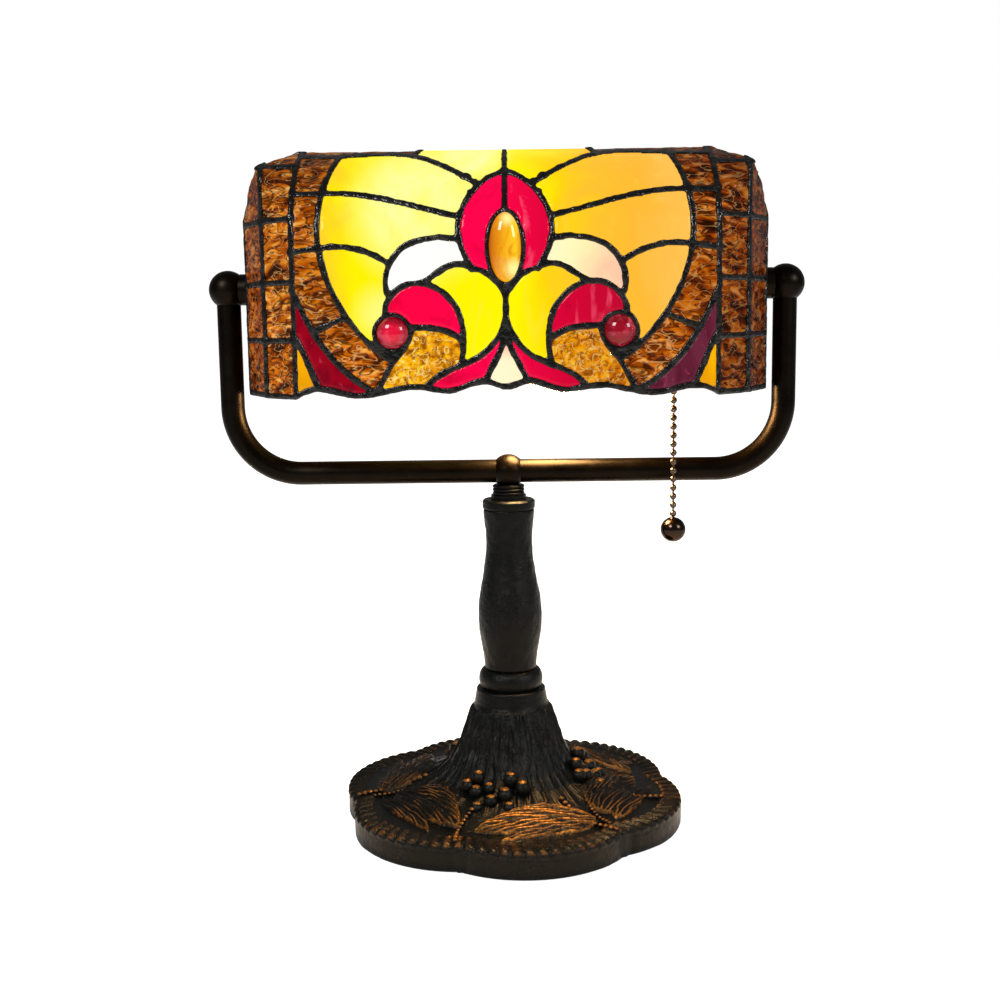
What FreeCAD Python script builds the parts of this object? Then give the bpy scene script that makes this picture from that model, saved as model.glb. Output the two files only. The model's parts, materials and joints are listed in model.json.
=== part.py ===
import FreeCAD, Part
import math
import os
import re
import Sketcher

# Stained glass desk lamp: a leaded glass trough shade tilts on two ball ended arms of a bent tube
# yoke, on a cast stem and a lobed cast base. Millimetres, +Z up, +Y to the back, origin on the floor
# under the stem.

DOC = FreeCAD.newDocument("glass_desk_lamp")
SHEET = DOC.addObject("Spreadsheet::Sheet", "Sizes")
V = FreeCAD.Vector

SIZES = {
    # running clearance of the tilt, and gap between faces that pass each other
    "running_gap": 0.05,
    "face_gap": 0.2,
    # base
    "base_radius": 86.0,
    "lobe_radius": 54.0,
    "base_lift": 0.8,
    "base_edge": 14.0,
    "base_wall": 4.0,
    "base_roof": 4.0,
    "felt_thick": 2.0,
    "felt_inset": 3.0,
    "ballast_thick": 5.0,
    "ballast_bore": 30.0,
    "trunk_foot_radius": 64.0,
    "trunk_flare_radius": 46.0,
    "trunk_flare_height": 19.0,
    "trunk_waist_radius": 31.0,
    "trunk_waist_height": 29.0,
    "trunk_neck_radius": 21.5,
    "trunk_neck_height": 51.0,
    "trunk_top_radius": 17.2,
    "trunk_top": 67.0,
    # cord inlet at the back of the base
    "inlet_height": 7.4,
    "inlet_bore": 6.4,
    "inlet_sleeve": 9.4,
    "inlet_flange": 12.0,
    "inlet_flange_thick": 1.4,
    # stem
    "collar_radius": 16.0,
    "collar_height": 10.0,
    "stem_foot_radius": 13.2,
    "stem_belly_radius": 15.9,
    "stem_belly_height": 104.7,
    "stem_waist_radius": 11.5,
    "stem_waist_height": 139.0,
    "stem_head_radius": 12.7,
    "stem_top": 158.0,
    "cap_thick": 4.6,
    "collet_radius": 8.7,
    "collet_height": 2.2,
    "neck_radius": 7.9,
    "ring_height": 1.7,
    # threaded rod that clamps the stem to the base
    "rod_dia": 9.6,
    "rod_bore": 7.0,
    "rod_foot": 44.0,
    "rod_gap": 0.1,
    "washer_dia": 20.0,
    "washer_thick": 1.5,
    "nut_size": 16.0,
    "nut_thick": 5.0,
    # yoke
    "bar_height": 176.5,
    "arm_rise": 90.0,
    "yoke_span": 270.0,
    "tube_dia": 11.5,
    "tube_wall": 1.2,
    "bend_radius": 33.0,
    "hub_dia": 16.6,
    "hub_seat": 4.5,
    "ball_dia": 18.5,
    "disc_clearance": 0.3,
    "ball_seat": 5.5,
    # tilting pivots
    "pivot_dia": 10.0,
    "pivot_bore": 6.6,
    "pivot_disc_dia": 15.0,
    "inner_washer_dia": 18.0,
    "inner_washer_thick": 1.6,
    "pivot_nut_thick": 5.0,
    # glass shade, heights counted from the pivot axis
    "shade_half_length": 122.4,
    "shade_half_depth": 64.0,
    "shade_drop": 50.0,
    "wall_top": 16.0,
    "shade_crest": 62.6,
    "crest_half_flat": 7.0,
    "front_inset": 30.4,
    "corner_inset": 13.2,
    "front_half_length": "=shade_half_length - front_inset",
    "corner_length": "=shade_half_length - corner_inset",
    "corner_depth": 47.0,
    "end_half_depth": 18.0,
    "end_wall_top": 31.0,
    "glass_thick": 3.0,
    "came_width": 2.4,
    "came_proud": 0.6,
    "end_plate_dia": 27.0,
    "jewel_rise": 5.0,
    "oval_half_width": 7.0,
    "oval_half_height": 15.0,
    "oval_height": 15.5,
    "round_radius": 7.0,
    "round_offset": "=50 * (front_half_length + 1.5) / 93.5",
    "round_height": -21.0,
    "jewel_gap": 0.1,
    # lamp holder, along X from the right pivot
    "cup_depth": 15.0,
    "cup_dia": 34.0,
    "holder_dia": 31.6,
    "holder_length": 42.0,
    "holder_wall": 0.6,
    "liner_wall": 0.5,
    "core_length": 14.0,
    "screw_shell_gap": 1.0,
    "screw_shell_dia": "=holder_dia - 2 * (holder_wall + liner_wall + screw_shell_gap)",
    "screw_shell_length": 26.0,
    "screw_shell_wall": 0.4,
    # bulb
    "bulb_cap_gap": 0.3,
    "bulb_cap_dia": "=screw_shell_dia - 2 * (screw_shell_wall + bulb_cap_gap)",
    "bulb_cap_length": 24.0,
    "bulb_dia": 60.0,
    "bulb_length": 108.0,
    "bulb_wall": 0.8,
    # pull chain
    "chain_inset": 43.2,
    "chain_offset": "=shade_half_length - chain_inset",
    "chain_depth": 18.5,
    "horn_drop": 18.7,
    "horn_dia": 5.4,
    "horn_bore": 3.8,
    "link_dia": 1.6,
    "chain_start": 1.6,
    "bead_dia": 3.2,
    "bead_pitch": 4.2,
    "bead_wire": 1.0,
    "chain_beads": 23,
    "knob_dia": 12.0,
    # wire held inside
    "wire_dia": 3.2,
    "wire_turn": 4.0,
}

for row, (alias, number) in enumerate(SIZES.items(), start=1):
    SHEET.set(f"A{row}", alias)
    SHEET.set(f"B{row}", str(number))
    SHEET.setAlias(f"B{row}", alias)
DOC.recompute()

PARTS = []


def size(alias):
    """The number that the sheet holds for one alias."""
    return float(SHEET.get(alias))


def cell(text):
    """An expression in which every alias refers to its cell of the sheet."""
    return re.sub(r"[a-z_]{2,}", lambda m: "Sizes." + m.group() if m.group() in SIZES else m.group(), text)


def bind(thing, **rules):
    """Ties properties of an object to expressions over the sheet; X, Y and Z mean its place."""
    paths = {"X": "Placement.Base.x", "Y": "Placement.Base.y", "Z": "Placement.Base.z"}
    for name, text in rules.items():
        thing.setExpression(paths.get(name, name), cell(text))
    return thing


def turn(thing, axis, angle):
    """Turns an object about one axis through its own origin."""
    thing.Placement.Rotation = FreeCAD.Rotation(axis, angle)
    return thing


def keep(thing, label):
    """Marks an object as one sub-part and names it."""
    thing.Label = label
    PARTS.append(thing)
    return thing


# ---------------------------------------------------------------- helpers: solids from primitives


def cylinder(name, dia, length, axis="Z", **place):
    """A cylinder that starts at its place and runs along +X, +Y or +Z."""
    body = DOC.addObject("Part::Cylinder", name)
    bind(body, Radius=f"({dia}) / 2", Height=length, **place)
    if axis == "X":
        turn(body, V(0, 1, 0), 90)
    if axis == "Y":
        turn(body, V(1, 0, 0), -90)
    return body


def sphere(name, dia, **place):
    body = DOC.addObject("Part::Sphere", name)
    return bind(body, Radius=f"({dia}) / 2", **place)


def box(name, length, width, height, **place):
    body = DOC.addObject("Part::Box", name)
    return bind(body, Length=length, Width=width, Height=height, **place)


def fuse(name, shapes):
    whole = DOC.addObject("Part::MultiFuse", name)
    whole.Shapes = shapes
    return whole


def cut(name, base, tools):
    """Base less every tool, one cut after another."""
    for number, tool in enumerate(tools):
        step = DOC.addObject("Part::Cut", name if number == len(tools) - 1 else f"{name}_{number}")
        step.Base = base
        step.Tool = tool
        base = step
    return base


def ring(label, outer, inner, length, axis="Z", **place):
    """A plain washer or sleeve."""
    hole = cylinder(label + "_hole", inner, length, axis, **place)
    return cut(label, cylinder(label + "_disc", outer, length, axis, **place), [hole])


def nut(label, across, thick, bore, axis="Z", **place):
    """A hexagon nut without its thread."""
    blank = DOC.addObject("Part::Prism", label + "_blank")
    blank.Polygon = 6
    bind(blank, Circumradius=f"({across}) / sqrt(3)", Height=thick, **place)
    if axis == "X":
        turn(blank, V(0, 1, 0), 90)
    hole = cylinder(label + "_hole", bore, thick, axis, **place)
    return cut(label, blank, [hole])


def group(label, members):
    """Separate solids that share one node."""
    whole = DOC.addObject("Part::Compound", label)
    whole.Links = members
    return keep(whole, label)


# ---------------------------------------------------------------- helpers: PartDesign bodies


def new_body(name):
    body = DOC.addObject("PartDesign::Body", name)
    planes = {o.Role: o for o in body.Origin.OriginFeatures}
    return body, planes


def new_sketch(body, name, plane, lift=None):
    sketch = body.newObject("Sketcher::SketchObject", name)
    sketch.AttachmentSupport = [(plane, "")]
    sketch.MapMode = "FlatFace"
    if lift is not None:
        sketch.setExpression("AttachmentOffset.Base.z", cell(lift))
    return sketch


def circle_sketch(body, name, plane, dia, lift=None):
    """A circle about the sketch's own origin."""
    sketch = new_sketch(body, name, plane, lift)
    sketch.addGeometry(Part.Circle(V(0, 0, 0), V(0, 0, 1), 10.0))
    sketch.addConstraint(Sketcher.Constraint("Coincident", 0, 3, -1, 1))
    sketch.addConstraint(Sketcher.Constraint("Diameter", 0, 20.0))
    sketch.setExpression("Constraints[1]", cell(dia))
    return sketch


def outline_sketch(body, name, plane, corners):
    """A closed outline of straight lines. Each corner is two expressions from the sketch's origin."""
    sketch = new_sketch(body, name, plane)
    count = len(corners)
    turns = [2 * math.pi * k / count for k in range(count)]
    start = [V(20 + 8 * math.cos(a), 8 * math.sin(a), 0) for a in turns]
    for k in range(count):
        sketch.addGeometry(Part.LineSegment(start[k], start[(k + 1) % count]))
    for k in range(count):
        sketch.addConstraint(Sketcher.Constraint("Coincident", k, 2, (k + 1) % count, 1))
    for k, corner in enumerate(corners):
        for kind, rule, axis in zip(("DistanceX", "DistanceY"), corner, (-2, -1)):
            if rule == "0":
                sketch.addConstraint(Sketcher.Constraint("PointOnObject", k, 1, axis))
                continue
            index = sketch.addConstraint(Sketcher.Constraint(kind, -1, 1, k, 1, 1.0))
            sketch.setExpression(f"Constraints[{index}]", cell(rule))
    return sketch


def turned(label, corners, axis="Z", **place):
    """A turned piece: its half section, given as radius and height, revolved about its axis."""
    body, planes = new_body(label)
    sketch = outline_sketch(body, label + "_section", planes["XZ_Plane"], corners)
    whole = body.newObject("PartDesign::Revolution", label + "_turning")
    whole.Profile = sketch
    whole.ReferenceAxis = (sketch, ["V_Axis"])
    whole.Angle = 360
    body.Tip = whole
    bind(body, **place)
    if axis == "-X":
        turn(body, V(0, 1, 0), -90)
    return keep(body, label)


def cast_round(label, stations, bore):
    """A cast round piece: a smooth loft through circles at given heights, bored through."""
    body, planes = new_body(label)
    sections = []
    for number, (height, radius) in enumerate(stations):
        name = f"{label}_section_{number}"
        sections.append(circle_sketch(body, name, planes["XY_Plane"], f"2 * ({radius})", height))
    loft = body.newObject("PartDesign::AdditiveLoft", label + "_loft")
    loft.Profile = sections[0]
    loft.Sections = sections[1:]
    body.Tip = loft
    DOC.recompute()
    solid_volume = loft.Shape.Volume
    hole = circle_sketch(body, label + "_bore", planes["XY_Plane"], bore, stations[0][0])
    pocket = body.newObject("PartDesign::Pocket", label + "_drilling")
    pocket.Profile = hole
    pocket.Type = 1
    pocket.Reversed = True
    body.Tip = pocket
    DOC.recompute()
    if pocket.Shape.Volume >= solid_volume:
        raise RuntimeError(label + ": the bore cut nothing")
    return keep(body, label)


# ---------------------------------------------------------------- base


def lobed_plate(name, inset, thick, floor):
    """A plate whose outline is six overlapping lobes round a hexagon, inset from the base's outline."""
    lobes = []
    for k in range(6):
        lobe = cylinder(f"{name}_lobe_{k}", f"2 * (lobe_radius - ({inset}))", thick, Z=floor)
        angle = f"({42 + 60 * k} deg)"
        offset = "(base_radius - lobe_radius)"
        bind(lobe, X=f"{offset} * cos{angle}", Y=f"{offset} * sin{angle}")
        lobes.append(lobe)
    return fuse(name, lobes)


def cone(name, foot, top, floor, height):
    body = DOC.addObject("Part::Cone", name)
    return bind(body, Radius1=foot, Radius2=top, Height=height, Z=floor)


def make_base():
    """The cast base with its hollow trunk, its ballast, felt, cord inlet and clamping nut."""
    plate = lobed_plate("base_plate", "0", "base_edge - base_lift", "base_lift")
    slope = cone(
        "base_slope", "trunk_foot_radius", "trunk_flare_radius", "base_edge",
        "trunk_flare_height - base_edge",
    )
    flare = cone(
        "base_flare", "trunk_flare_radius", "trunk_waist_radius", "trunk_flare_height",
        "trunk_waist_height - trunk_flare_height",
    )
    waist = cone(
        "base_waist", "trunk_waist_radius", "trunk_neck_radius", "trunk_waist_height",
        "trunk_neck_height - trunk_waist_height",
    )
    neck = cone(
        "base_neck", "trunk_neck_radius", "trunk_top_radius", "trunk_neck_height",
        "trunk_top - trunk_neck_height",
    )
    hollow = lobed_plate("base_hollow", "base_wall", "base_edge - base_roof - base_lift", "base_lift")
    core = cone(
        "base_core", "trunk_waist_radius - base_wall", "washer_dia / 2 + 1", "base_edge - base_roof",
        "trunk_neck_height + 4 - base_edge + base_roof",
    )
    bore = cylinder("base_bore", "rod_dia + 2 * rod_gap", "trunk_top")
    inlet = cylinder("base_inlet", "inlet_sleeve", "base_radius", "Y", Z="inlet_height")
    recess = cylinder(
        "base_inlet_recess", "inlet_flange", "base_radius", "Y",
        Y="inlet_face_y - inlet_flange_thick", Z="inlet_height",
    )
    whole = fuse("base_blank", [plate, slope, flare, waist, neck])
    keep(cut("base_casting", whole, [hollow, core, bore, inlet, recess]), "base_casting")

    pad = lobed_plate("felt_blank", "felt_inset", "felt_thick", "0")
    rebate = lobed_plate("felt_step", "base_wall + face_gap", "felt_thick", "0")
    rim = lobed_plate("felt_rim", "felt_inset", "base_lift", "0")
    upper = DOC.addObject("Part::Common", "felt_upper")
    upper.Base = pad
    upper.Tool = rebate
    keep(fuse("felt_pad", [upper, rim]), "felt_pad")

    disc = cylinder(
        "ballast_disc", "2 * (base_radius - base_wall - 10)", "ballast_thick", Z="felt_thick",
    )
    eye = cylinder("ballast_eye", "2 * ballast_bore", "ballast_thick", Z="felt_thick")
    slot = box(
        "ballast_slot", "inlet_sleeve + 4", "base_radius", "ballast_thick",
        X="-(inlet_sleeve + 4) / 2", Z="felt_thick",
    )
    keep(cut("ballast_ring", disc, [eye, slot]), "ballast_ring")

    wall = "(base_wall + 1)"
    sleeve = cylinder(
        "bushing_sleeve", "inlet_sleeve", wall, "Y", Y=f"inlet_face_y - {wall}", Z="inlet_height",
    )
    flange = cylinder(
        "bushing_flange", "inlet_flange", "inlet_flange_thick", "Y",
        Y="inlet_face_y - inlet_flange_thick", Z="inlet_height",
    )
    eye = cylinder("bushing_eye", "inlet_bore", "base_radius", "Y", Y="base_radius / 2", Z="inlet_height")
    keep(cut("cord_bushing", fuse("bushing_blank", [sleeve, flange]), [eye]), "cord_bushing")


def make_stem():
    """The cast stem between its collar and cap, and the threaded rod that holds them together."""
    cast_round(
        "stem_collar",
        [
            ("trunk_top", "collar_radius - 1.6"),
            ("trunk_top + 0.25 * collar_height", "collar_radius - 0.2"),
            ("trunk_top + 0.55 * collar_height", "collar_radius"),
            ("trunk_top + 0.85 * collar_height", "collar_radius - 0.9"),
            ("trunk_top + collar_height", "stem_foot_radius"),
        ],
        "rod_dia + 2 * rod_gap",
    )
    cast_round(
        "stem_casting",
        [
            ("trunk_top + collar_height", "stem_foot_radius"),
            (
                "0.5 * (trunk_top + collar_height + stem_belly_height)",
                "0.45 * stem_foot_radius + 0.55 * stem_belly_radius",
            ),
            ("stem_belly_height", "stem_belly_radius"),
            (
                "0.5 * (stem_belly_height + stem_waist_height)",
                "0.5 * (stem_belly_radius + stem_waist_radius)",
            ),
            ("stem_waist_height", "stem_waist_radius"),
            ("stem_top", "stem_head_radius"),
        ],
        "rod_dia + 2 * rod_gap",
    )
    bore = "rod_dia / 2 + rod_gap"
    cap_top = "stem_top + cap_thick"
    turned(
        "stem_cap",
        [
            (bore, "stem_top"),
            ("stem_head_radius", "stem_top"),
            ("stem_head_radius + 0.3", "stem_top + 0.8"),
            ("stem_head_radius + 0.3", f"{cap_top} - 0.8"),
            ("stem_head_radius - 0.6", cap_top),
            (bore, cap_top),
        ],
    )
    rings = []
    for k in range(3):
        floor = f"{cap_top} + collet_height + {k} * ring_height"
        rings += [("neck_radius - 0.6", floor), ("neck_radius", f"{floor} + 0.3 * ring_height")]
        rings += [("neck_radius", f"{floor} + 0.7 * ring_height")]
    neck_top = f"{cap_top} + collet_height + 3 * ring_height"
    turned(
        "neck_coupling",
        [(bore, cap_top), ("collet_radius", cap_top), ("collet_radius", f"{cap_top} + collet_height")]
        + rings
        + [("neck_radius - 0.8", neck_top), (bore, neck_top)],
    )
    rod = ring("threaded_rod", "rod_dia", "rod_bore", f"{neck_top} + 3 - rod_foot", Z="rod_foot")
    keep(rod, "threaded_rod")
    ceiling = "(trunk_neck_height + 4)"
    washer = ring(
        "rod_washer", "washer_dia", "rod_dia + 2 * rod_gap", "washer_thick",
        Z=f"{ceiling} - washer_thick",
    )
    keep(washer, "rod_washer")
    clamp = nut("rod_nut", "nut_size", "nut_thick", "rod_dia", Z=f"{ceiling} - washer_thick - nut_thick")
    keep(clamp, "rod_nut")
    return neck_top


# ---------------------------------------------------------------- yoke


def make_hub(neck_top):
    """The ball in the middle of the yoke, which the rod and both tubes screw into."""
    ball = sphere("hub_ball_blank", "hub_dia", Z="bar_height")
    foot = cylinder("hub_foot", "hub_dia", "hub_dia", Z=f"{neck_top} - hub_dia")
    seat = cylinder("hub_rod_seat", "rod_dia", "3", Z=neck_top)
    well = cylinder("hub_well", "rod_bore", f"bar_height - ({neck_top})", Z=neck_top)
    cross = cylinder(
        "hub_cross", "tube_dia - 2 * tube_wall", "hub_dia", "X", X="-hub_dia / 2", Z="bar_height",
    )
    right = cylinder("hub_right", "tube_dia", "hub_dia", "X", X="hub_seat", Z="bar_height")
    left = cylinder("hub_left", "tube_dia", "hub_dia", "X", X="-hub_seat - hub_dia", Z="bar_height")
    keep(cut("hub_ball", ball, [foot, seat, well, cross, right, left]), "hub_ball")


def make_tube(label, side):
    """One half of the yoke: a straight run, a bend and an arm, as one bent tube."""
    body, planes = new_body(label)
    path = new_sketch(body, label + "_path", planes["XZ_Plane"])
    reach, bend, rise = 135.0 * side, 40.0, 80.0
    corner = reach - side * bend
    path.addGeometry(Part.LineSegment(V(side * 4, 0, 0), V(corner, 0, 0)))
    start, end = (-math.pi / 2, 0) if side > 0 else (math.pi, 1.5 * math.pi)
    path.addGeometry(Part.ArcOfCircle(Part.Circle(V(corner, bend, 0), V(0, 0, 1), bend), start, end))
    path.addGeometry(Part.LineSegment(V(reach, bend, 0), V(reach, rise, 0)))
    low, high = (1, 2) if side > 0 else (2, 1)
    path.addConstraint(Sketcher.Constraint("Tangent", 0, 2, 1, low))
    path.addConstraint(Sketcher.Constraint("Tangent", 1, high, 2, 1))
    path.addConstraint(Sketcher.Constraint("Horizontal", 0))
    path.addConstraint(Sketcher.Constraint("Vertical", 2))
    path.addConstraint(Sketcher.Constraint("PointOnObject", 0, 1, -1))
    for rule in (
        (Sketcher.Constraint("DistanceX", -1, 1, 0, 1, side * 4.0), f"{side} * hub_seat"),
        (Sketcher.Constraint("DistanceX", -1, 1, 2, 2, reach), f"{side} * yoke_span / 2"),
        (Sketcher.Constraint("DistanceY", -1, 1, 2, 2, rise), "arm_rise - ball_seat"),
        (Sketcher.Constraint("Radius", 1, bend), "bend_radius"),
    ):
        index = path.addConstraint(rule[0])
        path.setExpression(f"Constraints[{index}]", cell(rule[1]))
    section = circle_sketch(body, label + "_section", planes["YZ_Plane"], "tube_dia", f"{side} * hub_seat")
    section.addGeometry(Part.Circle(V(0, 0, 0), V(0, 0, 1), 4.0))
    section.addConstraint(Sketcher.Constraint("Coincident", 1, 3, -1, 1))
    section.addConstraint(Sketcher.Constraint("Diameter", 1, 8.0))
    section.setExpression("Constraints[3]", cell("tube_dia - 2 * tube_wall"))
    pipe = body.newObject("PartDesign::AdditivePipe", label + "_pipe")
    pipe.Profile = section
    pipe.Spine = (path, ["Edge1", "Edge2", "Edge3"])
    body.Tip = pipe
    bind(body, Z="bar_height")
    return keep(body, label)


def make_end(side):
    """One arm's end: ball, hollow pivot stud, washers and nut that carry the shade."""
    name = "right" if side > 0 else "left"
    place = {"X": f"{side} * yoke_span / 2", "Z": "bar_height + arm_rise"}
    flat_depth = "(tube_dia / 2 + disc_clearance)"
    inner = f"(yoke_span / 2 - {flat_depth})"
    plate = "(shade_half_length + came_proud)"
    plate_inner = "(shade_half_length - glass_thick)"

    def along(start, length):
        """Place of a piece that spans start to start + length from the middle, on this side."""
        return start if side > 0 else f"-({start}) - ({length})"

    ball = sphere(f"yoke_ball_{name}_blank", "ball_dia", **place)
    flat = cylinder(
        f"yoke_ball_{name}_flat", "ball_dia", "ball_dia", "X",
        X=along(f"{inner} - ball_dia", "ball_dia"), Z=place["Z"],
    )
    socket = cylinder(
        f"yoke_ball_{name}_socket", "tube_dia", "ball_dia",
        X=place["X"], Z="bar_height + arm_rise - ball_seat - ball_dia",
    )
    well = cylinder(
        f"yoke_ball_{name}_well", "tube_dia - 2 * tube_wall", "ball_seat",
        X=place["X"], Z="bar_height + arm_rise - ball_seat",
    )
    eye = cylinder(
        f"yoke_ball_{name}_eye", "pivot_dia", f"{flat_depth} + 4", "X",
        X=along(inner, f"{flat_depth} + 4"), Z=place["Z"],
    )
    keep(cut(f"yoke_ball_{name}", ball, [flat, socket, well, eye]), f"yoke_ball_{name}")

    stud_start = f"({plate_inner} - face_gap - inner_washer_thick - pivot_nut_thick - 6)"
    stud_length = f"({inner} + 3 - {stud_start})"
    stud = ring(
        f"pivot_stud_{name}", "pivot_dia", "pivot_bore", stud_length, "X",
        X=along(stud_start, stud_length), Z=place["Z"],
    )
    keep(stud, f"pivot_stud_{name}")
    disc_thick = f"({inner} - {plate} - face_gap)"
    disc = ring(
        f"pivot_disc_{name}", "pivot_disc_dia", "pivot_dia", disc_thick, "X",
        X=along(f"{inner} - {disc_thick}", disc_thick), Z=place["Z"],
    )
    washer = ring(
        f"pivot_washer_{name}", "inner_washer_dia", "pivot_dia", "inner_washer_thick", "X",
        X=along(f"{plate_inner} - face_gap - inner_washer_thick", "inner_washer_thick"), Z=place["Z"],
    )
    nut_start = f"{plate_inner} - face_gap - inner_washer_thick - pivot_nut_thick"
    lock = nut(
        f"pivot_nut_{name}", "nut_size", "pivot_nut_thick", "pivot_dia", "X",
        X=along(nut_start, "pivot_nut_thick"), Z=place["Z"],
    )
    plate_thick = "(glass_thick + came_proud)"
    plate_ring = ring(
        f"shade_end_plate_{name}", "end_plate_dia", "pivot_dia + 2 * running_gap", plate_thick, "X",
        X=along(plate_inner, plate_thick), Z=place["Z"],
    )
    keep(plate_ring, f"shade_end_plate_{name}")
    return disc, washer, lock


# ---------------------------------------------------------------- lamp holder, bulb and chain


def make_holder():
    """The pull chain lamp holder on the right pivot stud, lying along -X."""
    axis_z = "bar_height + arm_rise"
    mouth = "(shade_half_length - glass_thick - face_gap - inner_washer_thick - pivot_nut_thick)"
    lip = "holder_wall"
    cup, shell, bore = "cup_dia / 2", "holder_dia / 2", "pivot_dia / 2"
    turned(
        "holder_cup",
        [
            (bore, "0"),
            (f"{bore} + 4", "0"),
            (f"{cup} - 2", "cup_depth - 9"),
            (cup, "cup_depth - 5"),
            (cup, "cup_depth"),
            (f"{shell}", "cup_depth"),
            (f"{shell}", f"cup_depth - 5 + {lip}"),
            (f"{shell} - 2", f"cup_depth - 9 + 2 * {lip}"),
            (f"{bore} + 4", f"2 * {lip}"),
            (bore, f"2 * {lip}"),
        ],
        "-X", X=mouth, Z=axis_z,
    )
    start = f"{mouth} - cup_depth + 4"
    tail = f"{start} - holder_length"
    stub = cylinder(
        "shell_port", "horn_dia - 0.6", "holder_dia", "Y",
        X="chain_offset", Y="-holder_dia", Z=f"{axis_z} - 4",
    )
    body = cylinder("shell_blank", "holder_dia", "holder_length", "X", X=tail, Z=axis_z)
    void = cylinder("shell_void", "holder_dia - 2 * holder_wall", "holder_length", "X", X=tail, Z=axis_z)
    keep(cut("holder_shell", body, [void, stub]), "holder_shell")
    liner_dia = "(holder_dia - 2 * holder_wall)"
    body = cylinder("liner_blank", liner_dia, "holder_length - 1", "X", X=f"{tail} + 0.5", Z=axis_z)
    void = cylinder(
        "liner_void", f"{liner_dia} - 2 * liner_wall", "holder_length", "X", X=tail, Z=axis_z,
    )
    port = cylinder(
        "liner_port", "horn_dia - 0.6", "holder_dia", "Y",
        X="chain_offset", Y="-holder_dia", Z=f"{axis_z} - 4",
    )
    keep(cut("holder_liner", body, [void, port]), "holder_liner")
    core_start = f"({start} - core_length - 1)"
    keep(
        cylinder(
            "switch_core", f"{liner_dia} - 2 * liner_wall - 0.6", "core_length", "X",
            X=core_start, Z=axis_z,
        ),
        "switch_core",
    )
    thread = ring(
        "screw_shell", "screw_shell_dia", "screw_shell_dia - 2 * screw_shell_wall",
        "screw_shell_length", "X", X=f"{core_start} - screw_shell_length", Z=axis_z,
    )
    keep(thread, "screw_shell")
    keep(
        cylinder("centre_contact", "5", "1.2", "X", X=f"{core_start} - 1.2", Z=axis_z), "centre_contact",
    )
    make_bulb(f"{core_start} - 1.4", axis_z)
    make_horn(axis_z)


def make_bulb(contact, axis_z):
    """A frosted bulb in the holder: solder tip, insulator, cap and hollow glass envelope."""
    thread = ring(
        "bulb_cap", "bulb_cap_dia", "bulb_cap_dia - 1", "bulb_cap_length - 3", "X",
        X=f"{contact} - bulb_cap_length", Z=axis_z,
    )
    keep(thread, "bulb_cap")
    tip = cylinder("bulb_tip_pin", "4", "1.2", "X", X=f"{contact} - 1.2", Z=axis_z)
    seat = DOC.addObject("Part::Cone", "bulb_tip_seat")
    bind(seat, Radius1="bulb_cap_dia / 2", Radius2="3", Height="1.8", X=f"{contact} - 3", Z=axis_z)
    turn(seat, V(0, 1, 0), 90)
    keep(fuse("bulb_tip", [tip, seat]), "bulb_tip")
    globe = DOC.addObject("Part::Feature", "bulb_glass")
    radius, wall = size("bulb_dia") / 2, size("bulb_wall")
    neck = size("bulb_cap_dia") / 2 - 0.7
    cap_end = size("bulb_cap_length")

    def envelope(inset):
        """Neck, flare and round end as one turned solid; the axis is X and the contact at zero."""
        r, n = radius - inset, neck - inset
        middle = size("bulb_length") - radius
        slope = math.radians(38)
        join = (middle - r * math.sin(slope), r * math.cos(slope))
        rise = V(cap_end - 10, n, 0)
        flare = Part.BSplineCurve()
        flare.interpolate(
            Points=[rise, V(cap_end, n, 0), V(*join, 0)],
            Tangents=[V(1, 0, 0), V(1, 0, 0), V(math.cos(slope), math.sin(slope), 0)],
            TangentFlags=[True, True, True],
        )
        dome = Part.Arc(V(*join, 0), V(middle + r * 0.5, r * math.sqrt(0.75), 0), V(middle + r, 0, 0))
        back = [V(middle + r, 0, 0), V(cap_end - 10, 0, 0), rise]
        edges = [flare.toShape(), dome.toShape(), *Part.makePolygon(back).Edges]
        return Part.Face(Part.Wire(edges)).revolve(V(0, 0, 0), V(1, 0, 0), 360)

    globe.Shape = envelope(0).cut(envelope(wall))
    bind(globe, X=contact, Z=axis_z)
    turn(globe, V(0, 0, 1), 180)
    keep(globe, "bulb_glass")


def make_horn(axis_z):
    """The chain's outlet horn beside the holder, the switch link inside it, and the chain."""
    place = {"X": "chain_offset", "Y": "-chain_depth"}
    top = f"({axis_z} - 1)"
    outlet = f"({axis_z} - horn_drop)"
    tube = cylinder("horn_tube", "horn_dia", f"{top} - {outlet}", **place, Z=outlet)
    arm = cylinder(
        "horn_arm", "horn_dia - 0.6", "chain_depth - holder_dia / 2 + 1", "Y",
        X="chain_offset", Y="-chain_depth", Z=f"{axis_z} - 4",
    )
    lip = DOC.addObject("Part::Cone", "horn_lip")
    bind(lip, Radius1="horn_dia / 2 + 0.9", Radius2="horn_dia / 2", Height="2.4", **place, Z=outlet)
    bore = cylinder("horn_bore", "horn_bore", f"{top} - {outlet} - 1.2", **place, Z=outlet)
    keep(cut("chain_horn", fuse("horn_blank", [tube, arm, lip]), [bore]), "chain_horn")

    link_foot = "(chain_start + bead_dia / 2 + face_gap)"
    link = cylinder(
        "switch_link", "link_dia", f"horn_drop - 4 - {link_foot}", **place, Z=f"{outlet} + {link_foot}",
    )
    keep(link, "switch_link")
    make_chain(outlet, place)


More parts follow.
